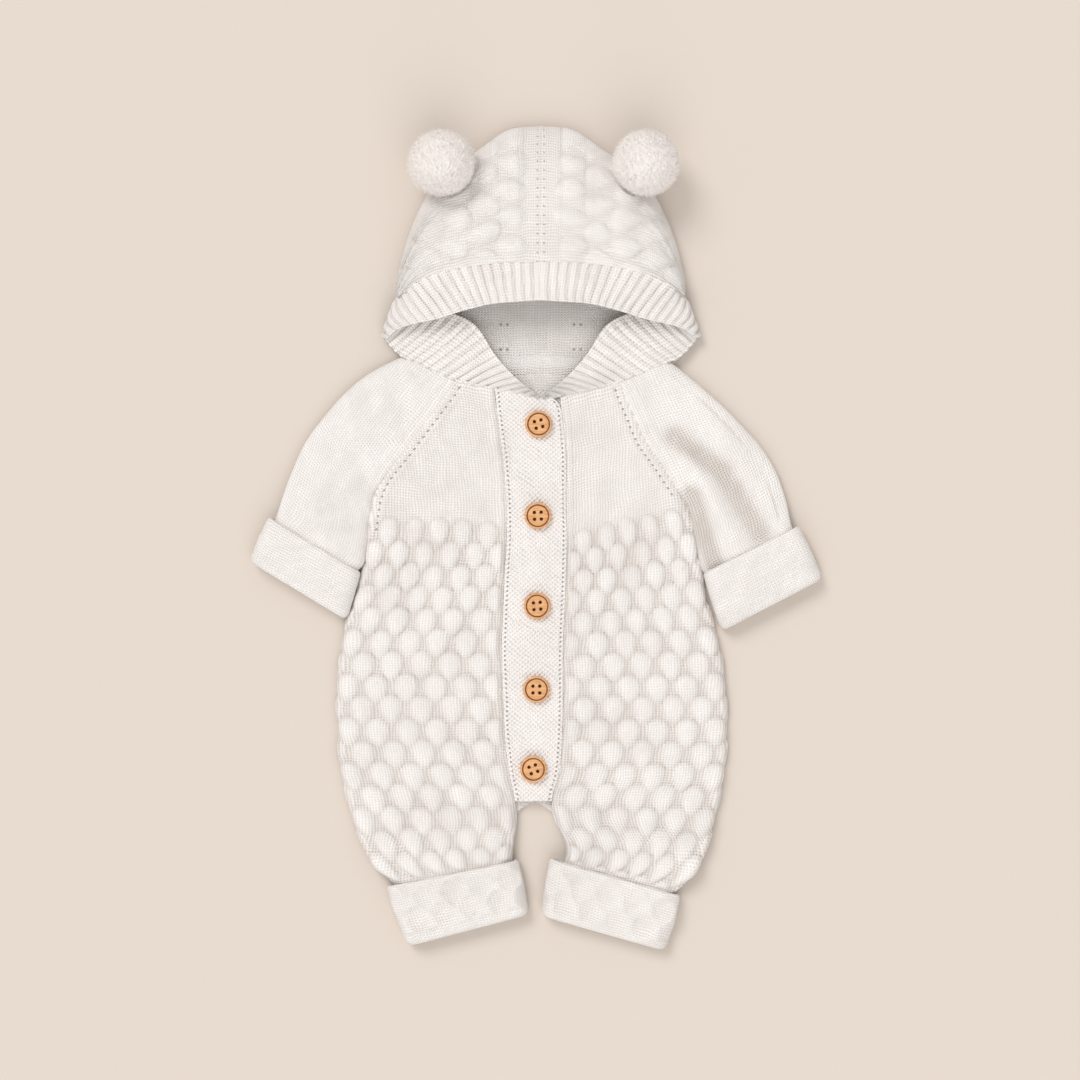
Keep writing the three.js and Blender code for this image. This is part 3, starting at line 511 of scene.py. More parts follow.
# Node building for the procedural materials
class Nodes:
    def __init__(self, name):
        self.material = bpy.data.materials.new(name)
        self.material.use_nodes = True
        self.tree = self.material.node_tree
        self.shader = self.tree.nodes["Principled BSDF"]

    # Gives a socket a constant, or links it to the output that it is given
    def feed(self, socket, value):
        if isinstance(value, bpy.types.NodeSocket):
            self.tree.links.new(value, socket)
        else:
            socket.default_value = value

    def node(self, kind, inputs, **settings):
        made = self.tree.nodes.new(kind)
        for key, value in settings.items():
            setattr(made, key, value)
        for key, value in inputs.items():
            self.feed(made.inputs[key], value)
        return made

    def math(self, operation, *inputs, clamped=False):
        made = self.node("ShaderNodeMath", dict(enumerate(inputs)), operation=operation, use_clamp=clamped)
        return made.outputs[0]

    def plus(self, first, second, clamped=False):
        return self.math("ADD", first, second, clamped=clamped)

    def minus(self, first, second):
        return self.math("SUBTRACT", first, second)

    def times(self, first, second):
        return self.math("MULTIPLY", first, second)

    def uv(self, layer):
        both = self.node("ShaderNodeUVMap", {}, uv_map=layer).outputs[0]
        split = self.node("ShaderNodeSeparateXYZ", {0: both})
        return split.outputs[0], split.outputs[1]

    # A smooth step from 0 to 1 as a value goes from low to high
    def ramp(self, value, low, high):
        inputs = {"Value": value, "From Min": low, "From Max": high}
        return self.node("ShaderNodeMapRange", inputs, interpolation_type="SMOOTHSTEP").outputs["Result"]

    def noise(self, scale, detail=2.0, stretch=None):
        place = self.node("ShaderNodeTexCoord", {}).outputs["Object"]
        if stretch:
            place = self.node("ShaderNodeMapping", {"Vector": place, "Scale": stretch}).outputs[0]
        inputs = {"Scale": scale, "Detail": detail, "Vector": place}
        return self.node("ShaderNodeTexNoise", inputs).outputs["Fac"]

    # A wave from 0 to 1 that is 1 at every whole pitch
    def wave(self, value, pitch):
        turns = self.times(value, 2 * math.pi / pitch)
        return self.math("MULTIPLY_ADD", self.math("COSINE", turns), 0.5, 0.5)

    def mix(self, share, first, second):
        return self.node("ShaderNodeMix", {0: share, 6: first, 7: second}, data_type="RGBA").outputs[2]

    # Feeds the shader, with a bump where its height, depth in millimetres and strength are given
    def finish(self, colour, roughness, specular=0.5, sheen=0.0, bump=None):
        sockets = {"Base Color": colour, "Roughness": roughness}
        sockets |= {"Specular IOR Level": specular, "Sheen Weight": sheen}
        if bump:
            height, depth, strength = bump
            inputs = {"Height": height, "Distance": depth / 1000, "Strength": strength}
            sockets["Normal"] = self.node("ShaderNodeBump", inputs).outputs[0]
        for name, value in sockets.items():
            self.feed(self.shader.inputs[name], value)
        return self.material


# Small holes in a row beside a seam: at a distance from it, with a pitch along it
def seam_holes(nodes, distance, pitch, radius):
    away, along = nodes.uv("seam")
    across = nodes.minus(away, distance)
    step = nodes.math("DIVIDE", along, pitch)
    beside = nodes.times(nodes.minus(step, nodes.math("ROUND", step)), pitch)
    square = nodes.plus(nodes.math("POWER", across, 2), nodes.math("POWER", beside, 2))
    return nodes.minus(1, nodes.ramp(nodes.math("SQRT", square), radius * 0.4, radius))


# The width and height of a stitch, then the patterns: each is a height from 0 in the gaps to 1 on the yarn
STITCH = (2.0, 1.7)
MOSS_STITCH = (3.4, 3.0)


def stockinette(nodes, u, v):
    leg = nodes.math("PINGPONG", nodes.math("DIVIDE", u, STITCH[0]), 0.5)
    slanted = nodes.plus(nodes.math("DIVIDE", v, STITCH[1]), nodes.times(leg, 1.5))
    return nodes.plus(nodes.times(nodes.wave(slanted, 1.0), 0.5), nodes.times(nodes.wave(u, STITCH[0]), 0.5))


def purl(nodes, u, v):
    lean = nodes.wave(u, STITCH[0])
    row = nodes.plus(nodes.math("DIVIDE", v, STITCH[1]), nodes.times(lean, 0.45))
    return nodes.plus(nodes.times(nodes.wave(row, 1.0), 0.7), nodes.times(lean, 0.3))


def moss(nodes, u, v):
    across, down = (
        nodes.math("SINE", nodes.times(value, 2 * math.pi / size)) for value, size in zip((u, v), MOSS_STITCH)
    )
    return nodes.math("MULTIPLY_ADD", nodes.times(across, down), 0.5, 0.5)


WOOL = (0.98, 0.94, 0.925, 1)
WOOL_SHADE = (0.46, 0.40, 0.335, 1)
# The dark of an eyelet: painted shade standing in for its opening, which is not cut
HOLE_SHADE = (0.16, 0.12, 0.085, 1)


# A knit's material. The stitch gap shade is how dark the shade painted into the gaps between stitches is,
# with the part of it that is only in low places. The valley shade is how dark the shade painted over the low
# places of the relief map is. A hole has a distance from its seam, a pitch and a radius
def knit(name, pattern, depth=0.7, holes=(), stitch_gap_shade=0.6, valley_shade=0.16, low_share=0.3):
    nodes = Nodes(name)
    u, v = nodes.uv("stitch")
    wander = nodes.math("MULTIPLY_ADD", nodes.noise(70), 4.0, -2.0)
    height = pattern(nodes, nodes.plus(u, wander), nodes.plus(v, wander))
    fibre = nodes.plus(nodes.times(height, 0.8), nodes.times(nodes.noise(900, 3), 0.35))
    # The gaps between the stitches take painted shade
    gap = nodes.minus(1, nodes.ramp(height, 0.0, 0.55))
    low = nodes.minus(1, nodes.ramp(nodes.uv("relief")[0], 0.0, 1.0))
    strength = nodes.math("MULTIPLY_ADD", low, stitch_gap_shade * low_share, stitch_gap_shade * (1 - low_share))
    # Painted shade: the gaps' shade, and a further painted shade over the low places of the relief map
    shade = nodes.math("MULTIPLY_ADD", gap, strength, nodes.times(low, valley_shade))
    patchy = nodes.times(nodes.ramp(nodes.noise(45), 0.35, 0.75), 0.10)
    colour = nodes.mix(nodes.plus(shade, patchy, clamped=True), WOOL, WOOL_SHADE)
    # Eyelets are painted dark, as painted shade where their openings would be
    for hole in holes:
        mask = seam_holes(nodes, *hole)
        colour = nodes.mix(nodes.times(mask, 0.5), colour, HOLE_SHADE)
        fibre = nodes.minus(fibre, nodes.times(mask, 1.5))
    rough = nodes.math("MULTIPLY_ADD", height, -0.08, 0.95)
    return nodes.finish(colour, rough, specular=0.15, sheen=0.25, bump=(fibre, depth, 1.0))


RAGLAN_HOLES = [(5.2, 4.2, 0.85)]
CROWN_HOLES = [(2.2, 6.2, 0.6)]
STRIP_HOLES = [(2.2, 3.1, 0.7)]
INSIDE_EYELETS = [(22.5, 17.0, 1.1), (27.0, 17.0, 1.1)]
knit_face = knit("knit_face", stockinette, holes=RAGLAN_HOLES, valley_shade=0.22)
knit_sleeve = knit("knit_sleeve", stockinette, valley_shade=0.42)
knit_reverse = knit("knit_reverse", purl, stitch_gap_shade=0.42, valley_shade=0.04)
knit_hood = knit("knit_hood", stockinette, holes=CROWN_HOLES, stitch_gap_shade=0.45, valley_shade=0.1)
knit_inside = knit("knit_inside", purl, depth=0.9, holes=INSIDE_EYELETS, valley_shade=0.0, low_share=0.9)
knit_cuff = knit("knit_cuff", purl)
knit_moss = knit("knit_moss", moss, depth=1.2, holes=STRIP_HOLES, stitch_gap_shade=0.4, valley_shade=0.0)
knit_rib = knit("knit_rib", stockinette, stitch_gap_shade=0.5, valley_shade=0.26)


def yarn_material():
    nodes = Nodes("yarn")
    fine = nodes.noise(900, 3)
    colour = nodes.mix(nodes.times(fine, 0.35), (0.86, 0.82, 0.795, 1), (0.68, 0.64, 0.61, 1))
    return nodes.finish(colour, 0.95, specular=0.1, sheen=0.35, bump=(fine, 0.4, 0.5))


def wood_material(name, light, dark, roughness):
    nodes = Nodes(name)
    grain = nodes.noise(1.0, 4, stretch=(130, 1100, 400))
    share = nodes.ramp(grain, 0.35, 0.7)
    rough = nodes.math("MULTIPLY_ADD", share, 0.15, roughness)
    return nodes.finish(nodes.mix(share, light, dark), rough, bump=(grain, 0.2, 0.3))


yarn = yarn_material()
wood = wood_material("wood", (0.80, 0.43, 0.20, 1), (0.62, 0.30, 0.115, 1), 0.45)
wood_groove = wood_material("wood_groove", (0.20, 0.075, 0.025, 1), (0.13, 0.045, 0.015, 1), 0.7)


# A front panel's surface: across runs from the placket to the side, t down the panel
def front_surface(rows):
    inner, outer = edge(rows, "inner"), edge(rows, "outer")
    inner_drop, outer_drop, lift = (column(rows, name) for name in ("inner_drop", "outer_drop", "lift"))

    def at(across, t, inset):
        start, end = inner(t), outer(t)
        near_drop, far_drop, up = inner_drop(t), outer_drop(t), lift(t)
        width = flat_distance(start, end)
        wall_inset = KNIT_THICKNESS * inset
        top = FRONT_TOP + up - wall_inset
        level = SEAM_LEVEL - SIDE_CLOSING + up + LEG_EASE * np.minimum(up, 1)
        near_inset, far_inset = wall_inset * near_drop, wall_inset * far_drop
        distance = near_inset + across * (width - near_inset - far_inset)
        near = rounded_edge(distance - near_inset, shrunk_rounding(near_drop, near_inset))
        far = rounded_edge(width - distance - far_inset, shrunk_rounding(far_drop, far_inset))
        missing = near_drop * (1 - near) + far_drop * (1 - far)
        place = start + (end - start) * (distance / width)[..., None]
        soft = fold_depth(place[..., 0], place[..., 1]) - softness(place[..., 0], place[..., 1])
        pressed = soft * near * far * (1 - clamp(missing))
        place[..., 2] = np.maximum(top - missing * (top - level) - pressed, level)
        return place

    return at


# How far above the upper edge of its cuff each point of a leg is
def above_cuff(side, points):
    cuff = CUFFS["leg_cuff_" + side]
    ends_x, ends_y = ((cuff["left_" + axis][0], cuff["right_" + axis][0]) for axis in "xy")
    return points[..., 1] - np.interp(points[..., 0], ends_x, ends_y)


def front_piece(side, rows, seam_row):
    surface, inner_edge, outer_edge = front_surface(rows), edge(rows, "inner"), edge(rows, "outer")

    def middle(t):
        return (inner_edge(t) + outer_edge(t)) / 2

    length, at_length = by_length(middle)
    downs = np.linspace(0, length, round(length / MESH_SPACING))
    down, across = np.meshgrid(downs, np.linspace(0, 1, 96), indexing="ij")
    t = at_length(down)
    outer, inner = surface(across, t, 0), surface(across, t, 1)
    width = flat_distance(inner_edge(t), outer_edge(t))
    sideways = (outer_edge(t) - inner_edge(t)) / width[..., None]
    from_placket, from_raglan = across * width, (1 - across) * width

    # The bubbles, which fade out at the placket, at the side and at the cuff
    row_place = (down - middle(0.0)[1] + YOKE_END) / BUBBLE_ROW_PITCH
    column_place = across * BUBBLE_COLUMNS
    last_row = math.floor((YOKE_END - BUBBLES_END) / BUBBLE_ROW_PITCH) + 2
    loops = bubbles(column_place + BUBBLE_SHIFT, row_place, first_row=1, last_row=last_row)
    above = above_cuff(side, outer)
    fade = smoothstep(column_place, 0, 0.3) * smoothstep(BUBBLE_COLUMNS - column_place, 0, 0.2)
    raised = fade * smoothstep(above, 0.5, 4) * loops
    outer[..., 2] += BUBBLE_HEIGHT * raised

    # The ridges of the seams, and the bubbles that stand out at the side
    seam_end = seam_row / (len(rows["lift"]) - 1)
    on_raglan = 1 - smoothstep(t, seam_end - 0.02, seam_end)
    outer[..., 2] += raglan_ridges(on_raglan, from_raglan)
    on_placket = 1 - smoothstep(t, 0.55, 0.6)
    outer[..., 2] += on_placket * (1.2 * bump_at(from_placket - 3.2, 1.7) - 0.8 * bump_at(from_placket, 1.2))
    at_side = smoothstep(column_place, BUBBLE_COLUMNS - 0.7, BUBBLE_COLUMNS) * smoothstep(above, 0, 8)
    outer[..., :2] += SIDE_BUMP * sideways[..., :2] * (at_side * loops)[..., None]

    # The edges that lie under the sleeve and the band
    under_sleeve = on_raglan * smoothstep(across, 0.975, 1)
    under_band = 1 - smoothstep(t, 0, 0.02)
    for layer in (outer, inner):
        layer[..., :2] += SEAM_LAP * sideways[..., :2] * under_sleeve[..., None]
        layer[..., 1] += SEAM_LAP * under_band
        layer[..., 2] -= 0.4 * KNIT_THICKNESS * np.maximum(under_sleeve, under_band)
    away = np.where(t < seam_end, from_raglan, NO_SEAM)
    # The relief map, which sets painted shade: in the low places between the bubbles and in the folds, with
    # less on the yoke
    relief = raised + YOKE_LESS_SHADE * (1 - smoothstep(row_place, 0.2, 0.8)) - creases(outer)
    cloth = Cloth()
    cloth.wall(outer, inner, knit_maps(from_placket, down, away, down, relief))
    return cloth.build("front_" + side + "_cloth", [knit_face, knit_reverse])


# The back, as one grid for each half, meeting on the centre line above the crotch
def back_piece():
    cloth = Cloth()
    t = np.linspace(0, 1, 230)
    for rows in (FRONT_LEFT, FRONT_RIGHT):
        start, end = edge(rows, "inner")(t), edge(rows, "outer")(t)
        leg_share = np.sqrt(smoothstep(np.maximum(CROTCH[1] - start[:, 1], 0), 0, 9))
        start[:, 0] = CROTCH[0] + (start[:, 0] - CROTCH[0]) * leg_share
        start[:, 1] = BACK_NECK_Y + (start[:, 1] - BACK_NECK_Y) * clamp(t / 0.055)
        under = between(start, end, np.linspace(0, 1, 60))
        under[..., 2] = column(rows, "lift")(t)[:, None]
        over = under + np.array([0, 0, BACK_TOP])
        cloth.wall(under, over, knit_maps(under[..., 0], under[..., 1]))
    return cloth.build("back_cloth", [knit_face, knit_reverse])


# A cloth folded over on itself, as a ring of points from its upper seam over the fold to its lower seam
def folded_ring(inset, counts, seam, fold, back, top, middle, bottom, level, drop, rounding):
    flat_count, round_count, under_count = counts
    wall_inset = KNIT_THICKNESS * inset
    seam_inset = wall_inset * drop
    length = flat_distance(seam, fold)
    reach = length - wall_inset - seam_inset
    radius = max(min(rounding, reach) - wall_inset, SHORTEST_ROUNDING)
    flat_end = max(reach - radius, reach * 0.05)
    flat = np.linspace(0, flat_end, flat_count + 1)
    turned = flat_end + (reach - flat_end) * np.sin(np.linspace(0, math.pi / 2, round_count + 1)[1:])
    across = np.concatenate([flat, turned])
    high = middle + (top - wall_inset - middle) * rounded_edge(reach - across, radius)
    at_seam = rounded_edge(across, shrunk_rounding(drop, seam_inset))
    upper = fold + (seam - fold) * ((wall_inset + reach - across) / length)[:, None]
    upper[:, 2] = level + (high - level) * (1 - drop * (1 - at_seam))
    low = bottom + wall_inset
    under_radius = middle - low
    turns = np.linspace(0, math.pi / 2, 7)[1:]
    under_length = flat_distance(back, fold)
    distances = np.concatenate([
        wall_inset + under_radius * (1 - np.cos(turns)),
        np.linspace(wall_inset + under_radius, under_length, under_count + 1)[1:],
    ])
    under = fold + (back - fold) * (distances / under_length)[:, None]
    under[:, 2] = np.concatenate([middle - under_radius * np.sin(turns), np.full(under_count, low)])
    return np.concatenate([upper, under])


def sleeve_piece(name, rows, seam_row):
    seam, fold = edge(rows, "seam"), edge(rows, "fold")
    drop, lift = column(rows, "drop"), column(rows, "lift")
    length, at_length = by_length(lambda t: (seam(t) + fold(t)) / 2)
    downs = np.linspace(0, length, round(length / MESH_SPACING))
    seam_end = seam_row / (len(rows["lift"]) - 1)
    counts = (34, 14, 24)
    top = slice(0, counts[0] + 1)

    # The underarm is tucked beside the body, further below the raglan seam
    def joined(t):
        underarm = smoothstep(t, seam_end - 0.12, seam_end) * (1 - smoothstep(t, 0.72, 0.85))
        tucked = SLEEVE_OVERLAP + UNDERARM_TUCK * underarm
        return seam(t) + (seam(t) - fold(t)) * (tucked / flat_distance(seam(t), fold(t)))

    def ring_at(t, inset):
        up = lift(t)
        ring = folded_ring(
            inset, counts, seam=joined(t), fold=fold(t), back=joined(t), top=FRONT_TOP + up,
            middle=FRONT_TOP / 2 + up, bottom=up, level=SEAM_LEVEL + up, drop=drop(t), rounding=EDGE_ROUNDING,
        )
        lowest = SEAM_LEVEL + up + (1 - inset) * KNIT_THICKNESS
        x, y, height = ring[top].T
        pressed = np.maximum(height - fold_depth(x, y) + softness(x, y), lowest)
        ring[top, 2] = np.where(height > lowest, pressed, height)
        return ring

    outer, inner = (np.array([ring_at(t, inset) for t in at_length(downs)]) for inset in (0, 1))
    around = running_length(outer, 1)
    t = at_length(downs)[:, None]
    on_raglan = 1 - smoothstep(t, seam_end - 0.02, seam_end)
    outer[..., 2] += raglan_ridges(on_raglan, around)
    cloth = Cloth()
    # The folds lower the relief map, which paints shade into their troughs
    cloth.wall(outer, inner, knit_maps(around, downs[:, None], relief=1 - creases(outer)))
    return cloth.build(name, [knit_sleeve, knit_reverse])


# A flattened tube's ring between two edges, moved out by an offset: round above, and flat below
def flat_tube_ring(left, right, top, bottom, offset, top_count):
    width = flat_distance(left, right)
    middle = (top + bottom) / 2
    half = (top - bottom) / 2 + offset
    end_run = max(EDGE_ROUNDING + offset, 1)
    under_run = max(KNIT_THICKNESS + offset, 0.1)
    turns = np.linspace(0, math.radians(80), 8)
    ends = -offset + end_run * (1 - np.cos(turns))
    heights = middle + half * np.sin(turns)
    low = middle - half
    over = np.linspace(-offset + end_run, width + offset - end_run, top_count)
    under = np.linspace(width + offset - under_run, under_run - offset, top_count // 2)
    distance = np.concatenate([ends, over, width - ends[::-1], [width + offset], under, [-offset]])
    height = np.concatenate([
        heights, np.full(top_count, middle + half), heights[::-1], [low + under_run],
        np.full(top_count // 2, low), [low + under_run],
    ])
    ring = left + (right - left) * (distance / width)[:, None]
    ring[:, 2] = height
    return ring


# A turned-up cuff: an outer layer over the end of the tube, folded inwards past that end. Its section has
# corners at places down the cuff from 0 to 1, with their offsets out from the tube
def cuff_piece(name, rows, dimpled):
    left, right = edge(rows, "left"), edge(rows, "right")
    length, width = flat_distance(left(0.0), left(1.0)), flat_distance(left(0.0), right(0.0))
    fold_start = 1 - CUFF_LIFT / length
    corners = np.array([
        (0, -3), (0.004, -1.6), (0.02, -0.6), (0.05, 0), (fold_start - 0.03, 0), (fold_start + 0.03, -0.7),
        (0.985, -1.8), (1, -3), (1, -6), (fold_start, -6), (fold_start, -3), (0.5, -3), (0, -3),
    ])
    steps = norm(np.diff(corners, axis=0) * (length, 1)) / 1.2
    profile = np.concatenate([
        np.linspace(start, end, max(int(step), 1), endpoint=False)
        for start, end, step in zip(corners, corners[1:], steps)
    ])
    top_count = 58
    tube_top = FRONT_TOP + 2 * CUFF_LIFT
    rings = np.array([
        flat_tube_ring(left(place), right(place), tube_top, 0.0, offset, top_count)
        for place, offset in profile
    ])
    down = np.repeat((profile[:, 0] * length)[:, None], rings.shape[1], 1)
    around = np.broadcast_to(running_length(rings[8], 0), down.shape)
    outside = (profile[:, 1] > -1)[:, None] & (np.arange(rings.shape[1]) < top_count + 16)[None]
    fade = smoothstep(down, 1, 5) * (1 - smoothstep(down, length - 7, length - 2)) * outside
    relief = 0.5 * softness(rings[..., 0] * 1.6, rings[..., 1] * 1.6)
    dimples = np.zeros_like(relief)
    if dimpled:
        dimples = bubbles(around / CUFF_LATTICE[0], down / CUFF_LATTICE[1])
        inner_leg = width - 3 if name.startswith("leg_cuff_left") else 12
        relief = relief - DIMPLE_DEPTH * dimples + 1.0 + 0.9 * bump_at(around - inner_leg, 1.6)
    else:
        relief = relief + 0.25 * np.cos(down * 2 * math.pi / 3.4)
    rings[..., 2] += fade * (relief + 1.1 * bump_at(down - 1.8, 1.4))
    around = looped(around)
    around[:, -1] = around[:, -2] + 4
    # The dimples lower the relief map, which paints shade into them
    shown = 1 - 0.4 * looped(fade * dimples)
    cloth = Cloth()
    cloth.quads(looped(cloth.number(rings)), knit_maps(around, looped(down), relief=shown))
    return cloth.build(name, [knit_cuff])


# The lowest level that a pompom leaves free over a place
def level_under_pompoms(x, y):
    level = np.full_like(x, 1000.0)
    reach = POMPOM_RADIUS + POMPOM_CLEARANCE
    for pompom_x, pompom_y in POMPOM_PLACES.values():
        distance = np.hypot(x - pompom_x, y - pompom_y)
        free = POMPOM_LEVEL - np.sqrt(np.maximum(reach**2 - distance**2, 0))
        level = np.where(distance < reach, np.minimum(level, free), level)
    return level


# The hood is knitted sideways, so its bubbles lie on their sides, pointing out from the centre seam
def hood_relief(points):
    x, y = points[..., 0], points[..., 1]
    row_place = np.abs(x - HOOD_CENTRE) / HOOD_ROW_PITCH - 0.13 + 0.22 * softness(2 * y, 2 * x)
    column_place = (HOOD_FIRST_BUBBLE - y) / HOOD_COLUMN_PITCH + 0.5 + 0.22 * softness(2 * x, 2 * y)
    fainter = 1 - 0.45 * smoothstep(HOOD_CENTRE - x, 30, 70)
    return fainter * bubbles(column_place, row_place, HOOD_HALF_LENGTH, first_row=1)


# The hood's top layer, with its bubbles and the centre seam's ridges, pressed down under the pompoms
def hood_level(points, inset, seam, fold):
    x, y = points[:, 0], points[:, 1]
    from_seam, from_fold = flat_distance(points, seam), flat_distance(points, fold)
    from_centre = np.abs(x - HOOD_CENTRE)
    fade = smoothstep(from_seam, 0, 9) * smoothstep(from_fold, 4, 16) * smoothstep(from_centre, 7, 15)
    relief = fade * (HOOD_BUBBLE_HEIGHT * hood_relief(points) + HOOD_LUMPS * lumps(x, y))
    relief = relief + 0.6 * bump_at(from_centre - 2.4, 1.6) * smoothstep(from_fold, 0, 6)
    relief = relief + 1.2 * softness(x, y) * smoothstep(from_fold, 2, 14) * smoothstep(from_seam, 0, 8)
    relief = relief if inset == 0 else 0
    highest = level_under_pompoms(x, y) - KNIT_THICKNESS * inset
    near_fold = SEAM_LEVEL + KNIT_THICKNESS * (1 - inset)
    lowest = np.where(from_fold < KNIT_THICKNESS * 2, HOOD_FOLD_LEVEL, near_fold)
    return np.maximum(np.minimum(points[:, 2] + relief, highest), lowest)


# A half of the hood, from the band's seam over the crown to the back of the neck
def hood_piece(name, side):
    seam, fold, neck = edge(HOOD_HALF, "seam"), edge(HOOD_HALF, "fold"), edge(HOOD_HALF, "neck")
    length, at_length = by_length(fold)
    counts = (26, 70, 92)
    top = slice(0, counts[0] + counts[1])

    def ring_at(t, inset):
        start, turn, back = seam(t), fold(t), neck(t)
        rounding = np.linalg.norm(start - turn) * HOOD_ROUNDING
        start[1] -= JOIN_OVERLAP
        back[1] -= NECK_TAPE
        for point in (start, turn, back):
            point[0] = HOOD_CENTRE + side * (point[0] - SEAM_CLOSING)
        ring = folded_ring(
            inset, counts, seam=start, fold=turn, back=back, top=start[2], middle=HOOD_FOLD_LEVEL,
            bottom=0.0, level=SEAM_LEVEL, drop=0.0, rounding=rounding,
        )
        ring[top, 2] = hood_level(ring[top], inset, start, turn)
        return ring

    places = at_length(np.linspace(0, length, 96))
    outer, inner = (np.array([ring_at(t, inset) for t in places]) for inset in (0, 1))

    # The centre seam inside, and the tape and the edge at the back of the neck
    from_centre = np.abs(inner[..., 0] - HOOD_CENTRE)
    under = np.arange(inner.shape[1]) > sum(counts[:2]) + 10
    along = running_length(inner, 1)
    to_neck = along[:, -1:] - along
    inner[..., 2] += under * 1.6 * bump_at(from_centre - 1.1, 1.1) * smoothstep(to_neck, 12, 14)
    tape = under * (1 - smoothstep(to_neck, 11.5, 12.5)) * smoothstep(to_neck, 4.2, 5.2)
    tape = tape * (1 - smoothstep(from_centre, 26, 28))
    inner[..., 2] += 1.0 * tape + 0.5 * under * (1 - smoothstep(to_neck, 4.2, 5.2))
    outer[..., 2] += under * 0.4 * (1 - smoothstep(to_neck, 4, 5))
    around, down = running_length(outer, 1), running_length(outer, 0)
    # The bubbles set the relief map, so painted shade fills the low places between them
    maps = knit_maps(around, down, np.abs(outer[..., 0] - HOOD_CENTRE), around, hood_relief(outer))
    from_eyelets = inner[..., 1] - INSIDE_EYELET_ROW
    cloth = Cloth()
    cloth.wall(outer, inner, maps, knit_maps(inner[..., 0], inner[..., 1], from_centre, from_eyelets, tape))
    return cloth.build(name, [knit_hood, knit_inside])


# A stretch of the ribbed band: its ribs run from the seam to the free edge
def band_stretch(cloth, rows, side):
    seam, middle, free = edge(rows, "seam"), edge(rows, "middle"), edge(rows, "free")
    length, at_length = by_length(middle)
    alongs = np.linspace(0, length, round(length / 0.7))
    along, across = np.meshgrid(alongs, np.linspace(0, 1, 30), indexing="ij")
    t = at_length(along)

    def place(t, across):
        first, centre, last = seam(t), middle(t), free(t)
        outward = first - centre
        outward[..., 2] = -BAND_LAP_DROP
        first = first + outward * (BAND_LAP / norm(outward))[..., None]
        through = 2 * centre - (first + last) / 2
        share = across[..., None]
        return first * (1 - share) ** 2 + 2 * through * share * (1 - share) + last * share**2

    step = 0.02
    ahead = place(clamp(t + step), across) - place(clamp(t - step), across)
    sideways = place(t, clamp(across + step)) - place(t, clamp(across - step))
    normal = unit(np.cross(ahead, sideways))
    base = place(t, across)
    width = norm(free(t) - seam(t))
    rib = np.abs(np.cos(math.pi * along / RIB_PITCH)) ** 0.8
    smooth_edge = 1 - smoothstep((1 - across) * width, 1.2, 3.2)
    relief = -RIB_HEIGHT * (1 - rib) * (1 - smooth_edge) * smoothstep(across * width, 0, 2)
    relief = relief + 0.3 * softness(base[..., 0], base[..., 1])
    outer = base + normal * relief[..., None]
    inner = base - normal * KNIT_THICKNESS
    for layer in (outer, inner):
        layer[..., 0] = HOOD_CENTRE + side * (layer[..., 0] - SEAM_CLOSING)
    # The ribs set the relief map, so painted shade fills the valleys between them
    cloth.wall(outer, inner, knit_maps(along, across * 27, relief=rib))


def band_piece(name, side):
    cloth = Cloth()
    band_stretch(cloth, BAND_UPPER, side)
    band_stretch(cloth, BAND_LOWER, side)
    return cloth.build(name, [knit_rib, knit_rib])


# A layer of the button strip. Its upper end is tucked under the band
def placket_piece(name, bottom, top, swell, corner, tuck):
    left, right = edge(FRONT_LEFT, "inner"), edge(FRONT_RIGHT, "inner")
    t = np.linspace(0, PLACKET_LAST_ROW / (len(FRONT_LEFT["lift"]) - 1), 250)
    start, end = left(t), right(t)
    from_top = clamp(1 - (right(0.0)[1] - end[:, 1]) / PLACKET_CORNER)
    at_top = 1 - smoothstep(t, 0, 0.04)
    start[:, 0] += PLACKET_GAP
    end[:, 0] -= PLACKET_GAP + corner * (1 - np.sqrt(1 - from_top**2))
    across = np.linspace(0, 1, 44)
    upper = between(start, end, across)
    upper[..., 1] -= PLACKET_NECK_SAG * np.sin(math.pi * across)[None] * from_top[:, None]
    upper[..., 1] += tuck * (1 - 0.5 * across[None]) * at_top[:, None]
    lower = upper.copy()
    upper[..., 2] = top + swell * np.sin(math.pi * across)[None] - 0.5 * KNIT_THICKNESS * at_top[:, None]
    lower[..., 2] = bottom
    width = flat_distance(start, end)[:, None]
    from_edge = np.minimum(across[None] * width, (1 - across[None]) * width)
    if swell:
        upper[..., 2] += 0.5 * bump_at(from_edge - 2.5, 1.6) + 0.4 * softness(upper[..., 0], upper[..., 1])
        for x, y in zip(BUTTONS["x"], BUTTONS["y"]):
            upper[..., 2] -= 0.5 * bump_at(np.hypot(upper[..., 0] - x, upper[..., 1] - y), 11)
    cloth = Cloth()
    cloth.wall(upper, lower, knit_maps(lower[..., 0], lower[..., 1], from_edge, lower[..., 1]))
    return cloth.build(name, [knit_moss, knit_reverse])


# The unevenness of cut yarn ends packed together, from about -1 to 1
def tufts(direction):
    height = np.zeros(len(direction))
    for pitch, share in ((9.0, 0.8), (5.0, 0.7), (2.6, 0.6), (1.7, 0.5)):
        for _ in range(5):
            axis = randoms.normal(0, 1, 3)
            axis /= np.linalg.norm(axis)
            bend = randoms.normal(0, 1, 3)
            turns = direction @ axis * POMPOM_RADIUS / pitch * 2 * math.pi
            height += share * 0.2 * np.sin(turns + 2.5 * np.sin(direction @ bend * 5) + randoms.uniform(0, 6))
    return height


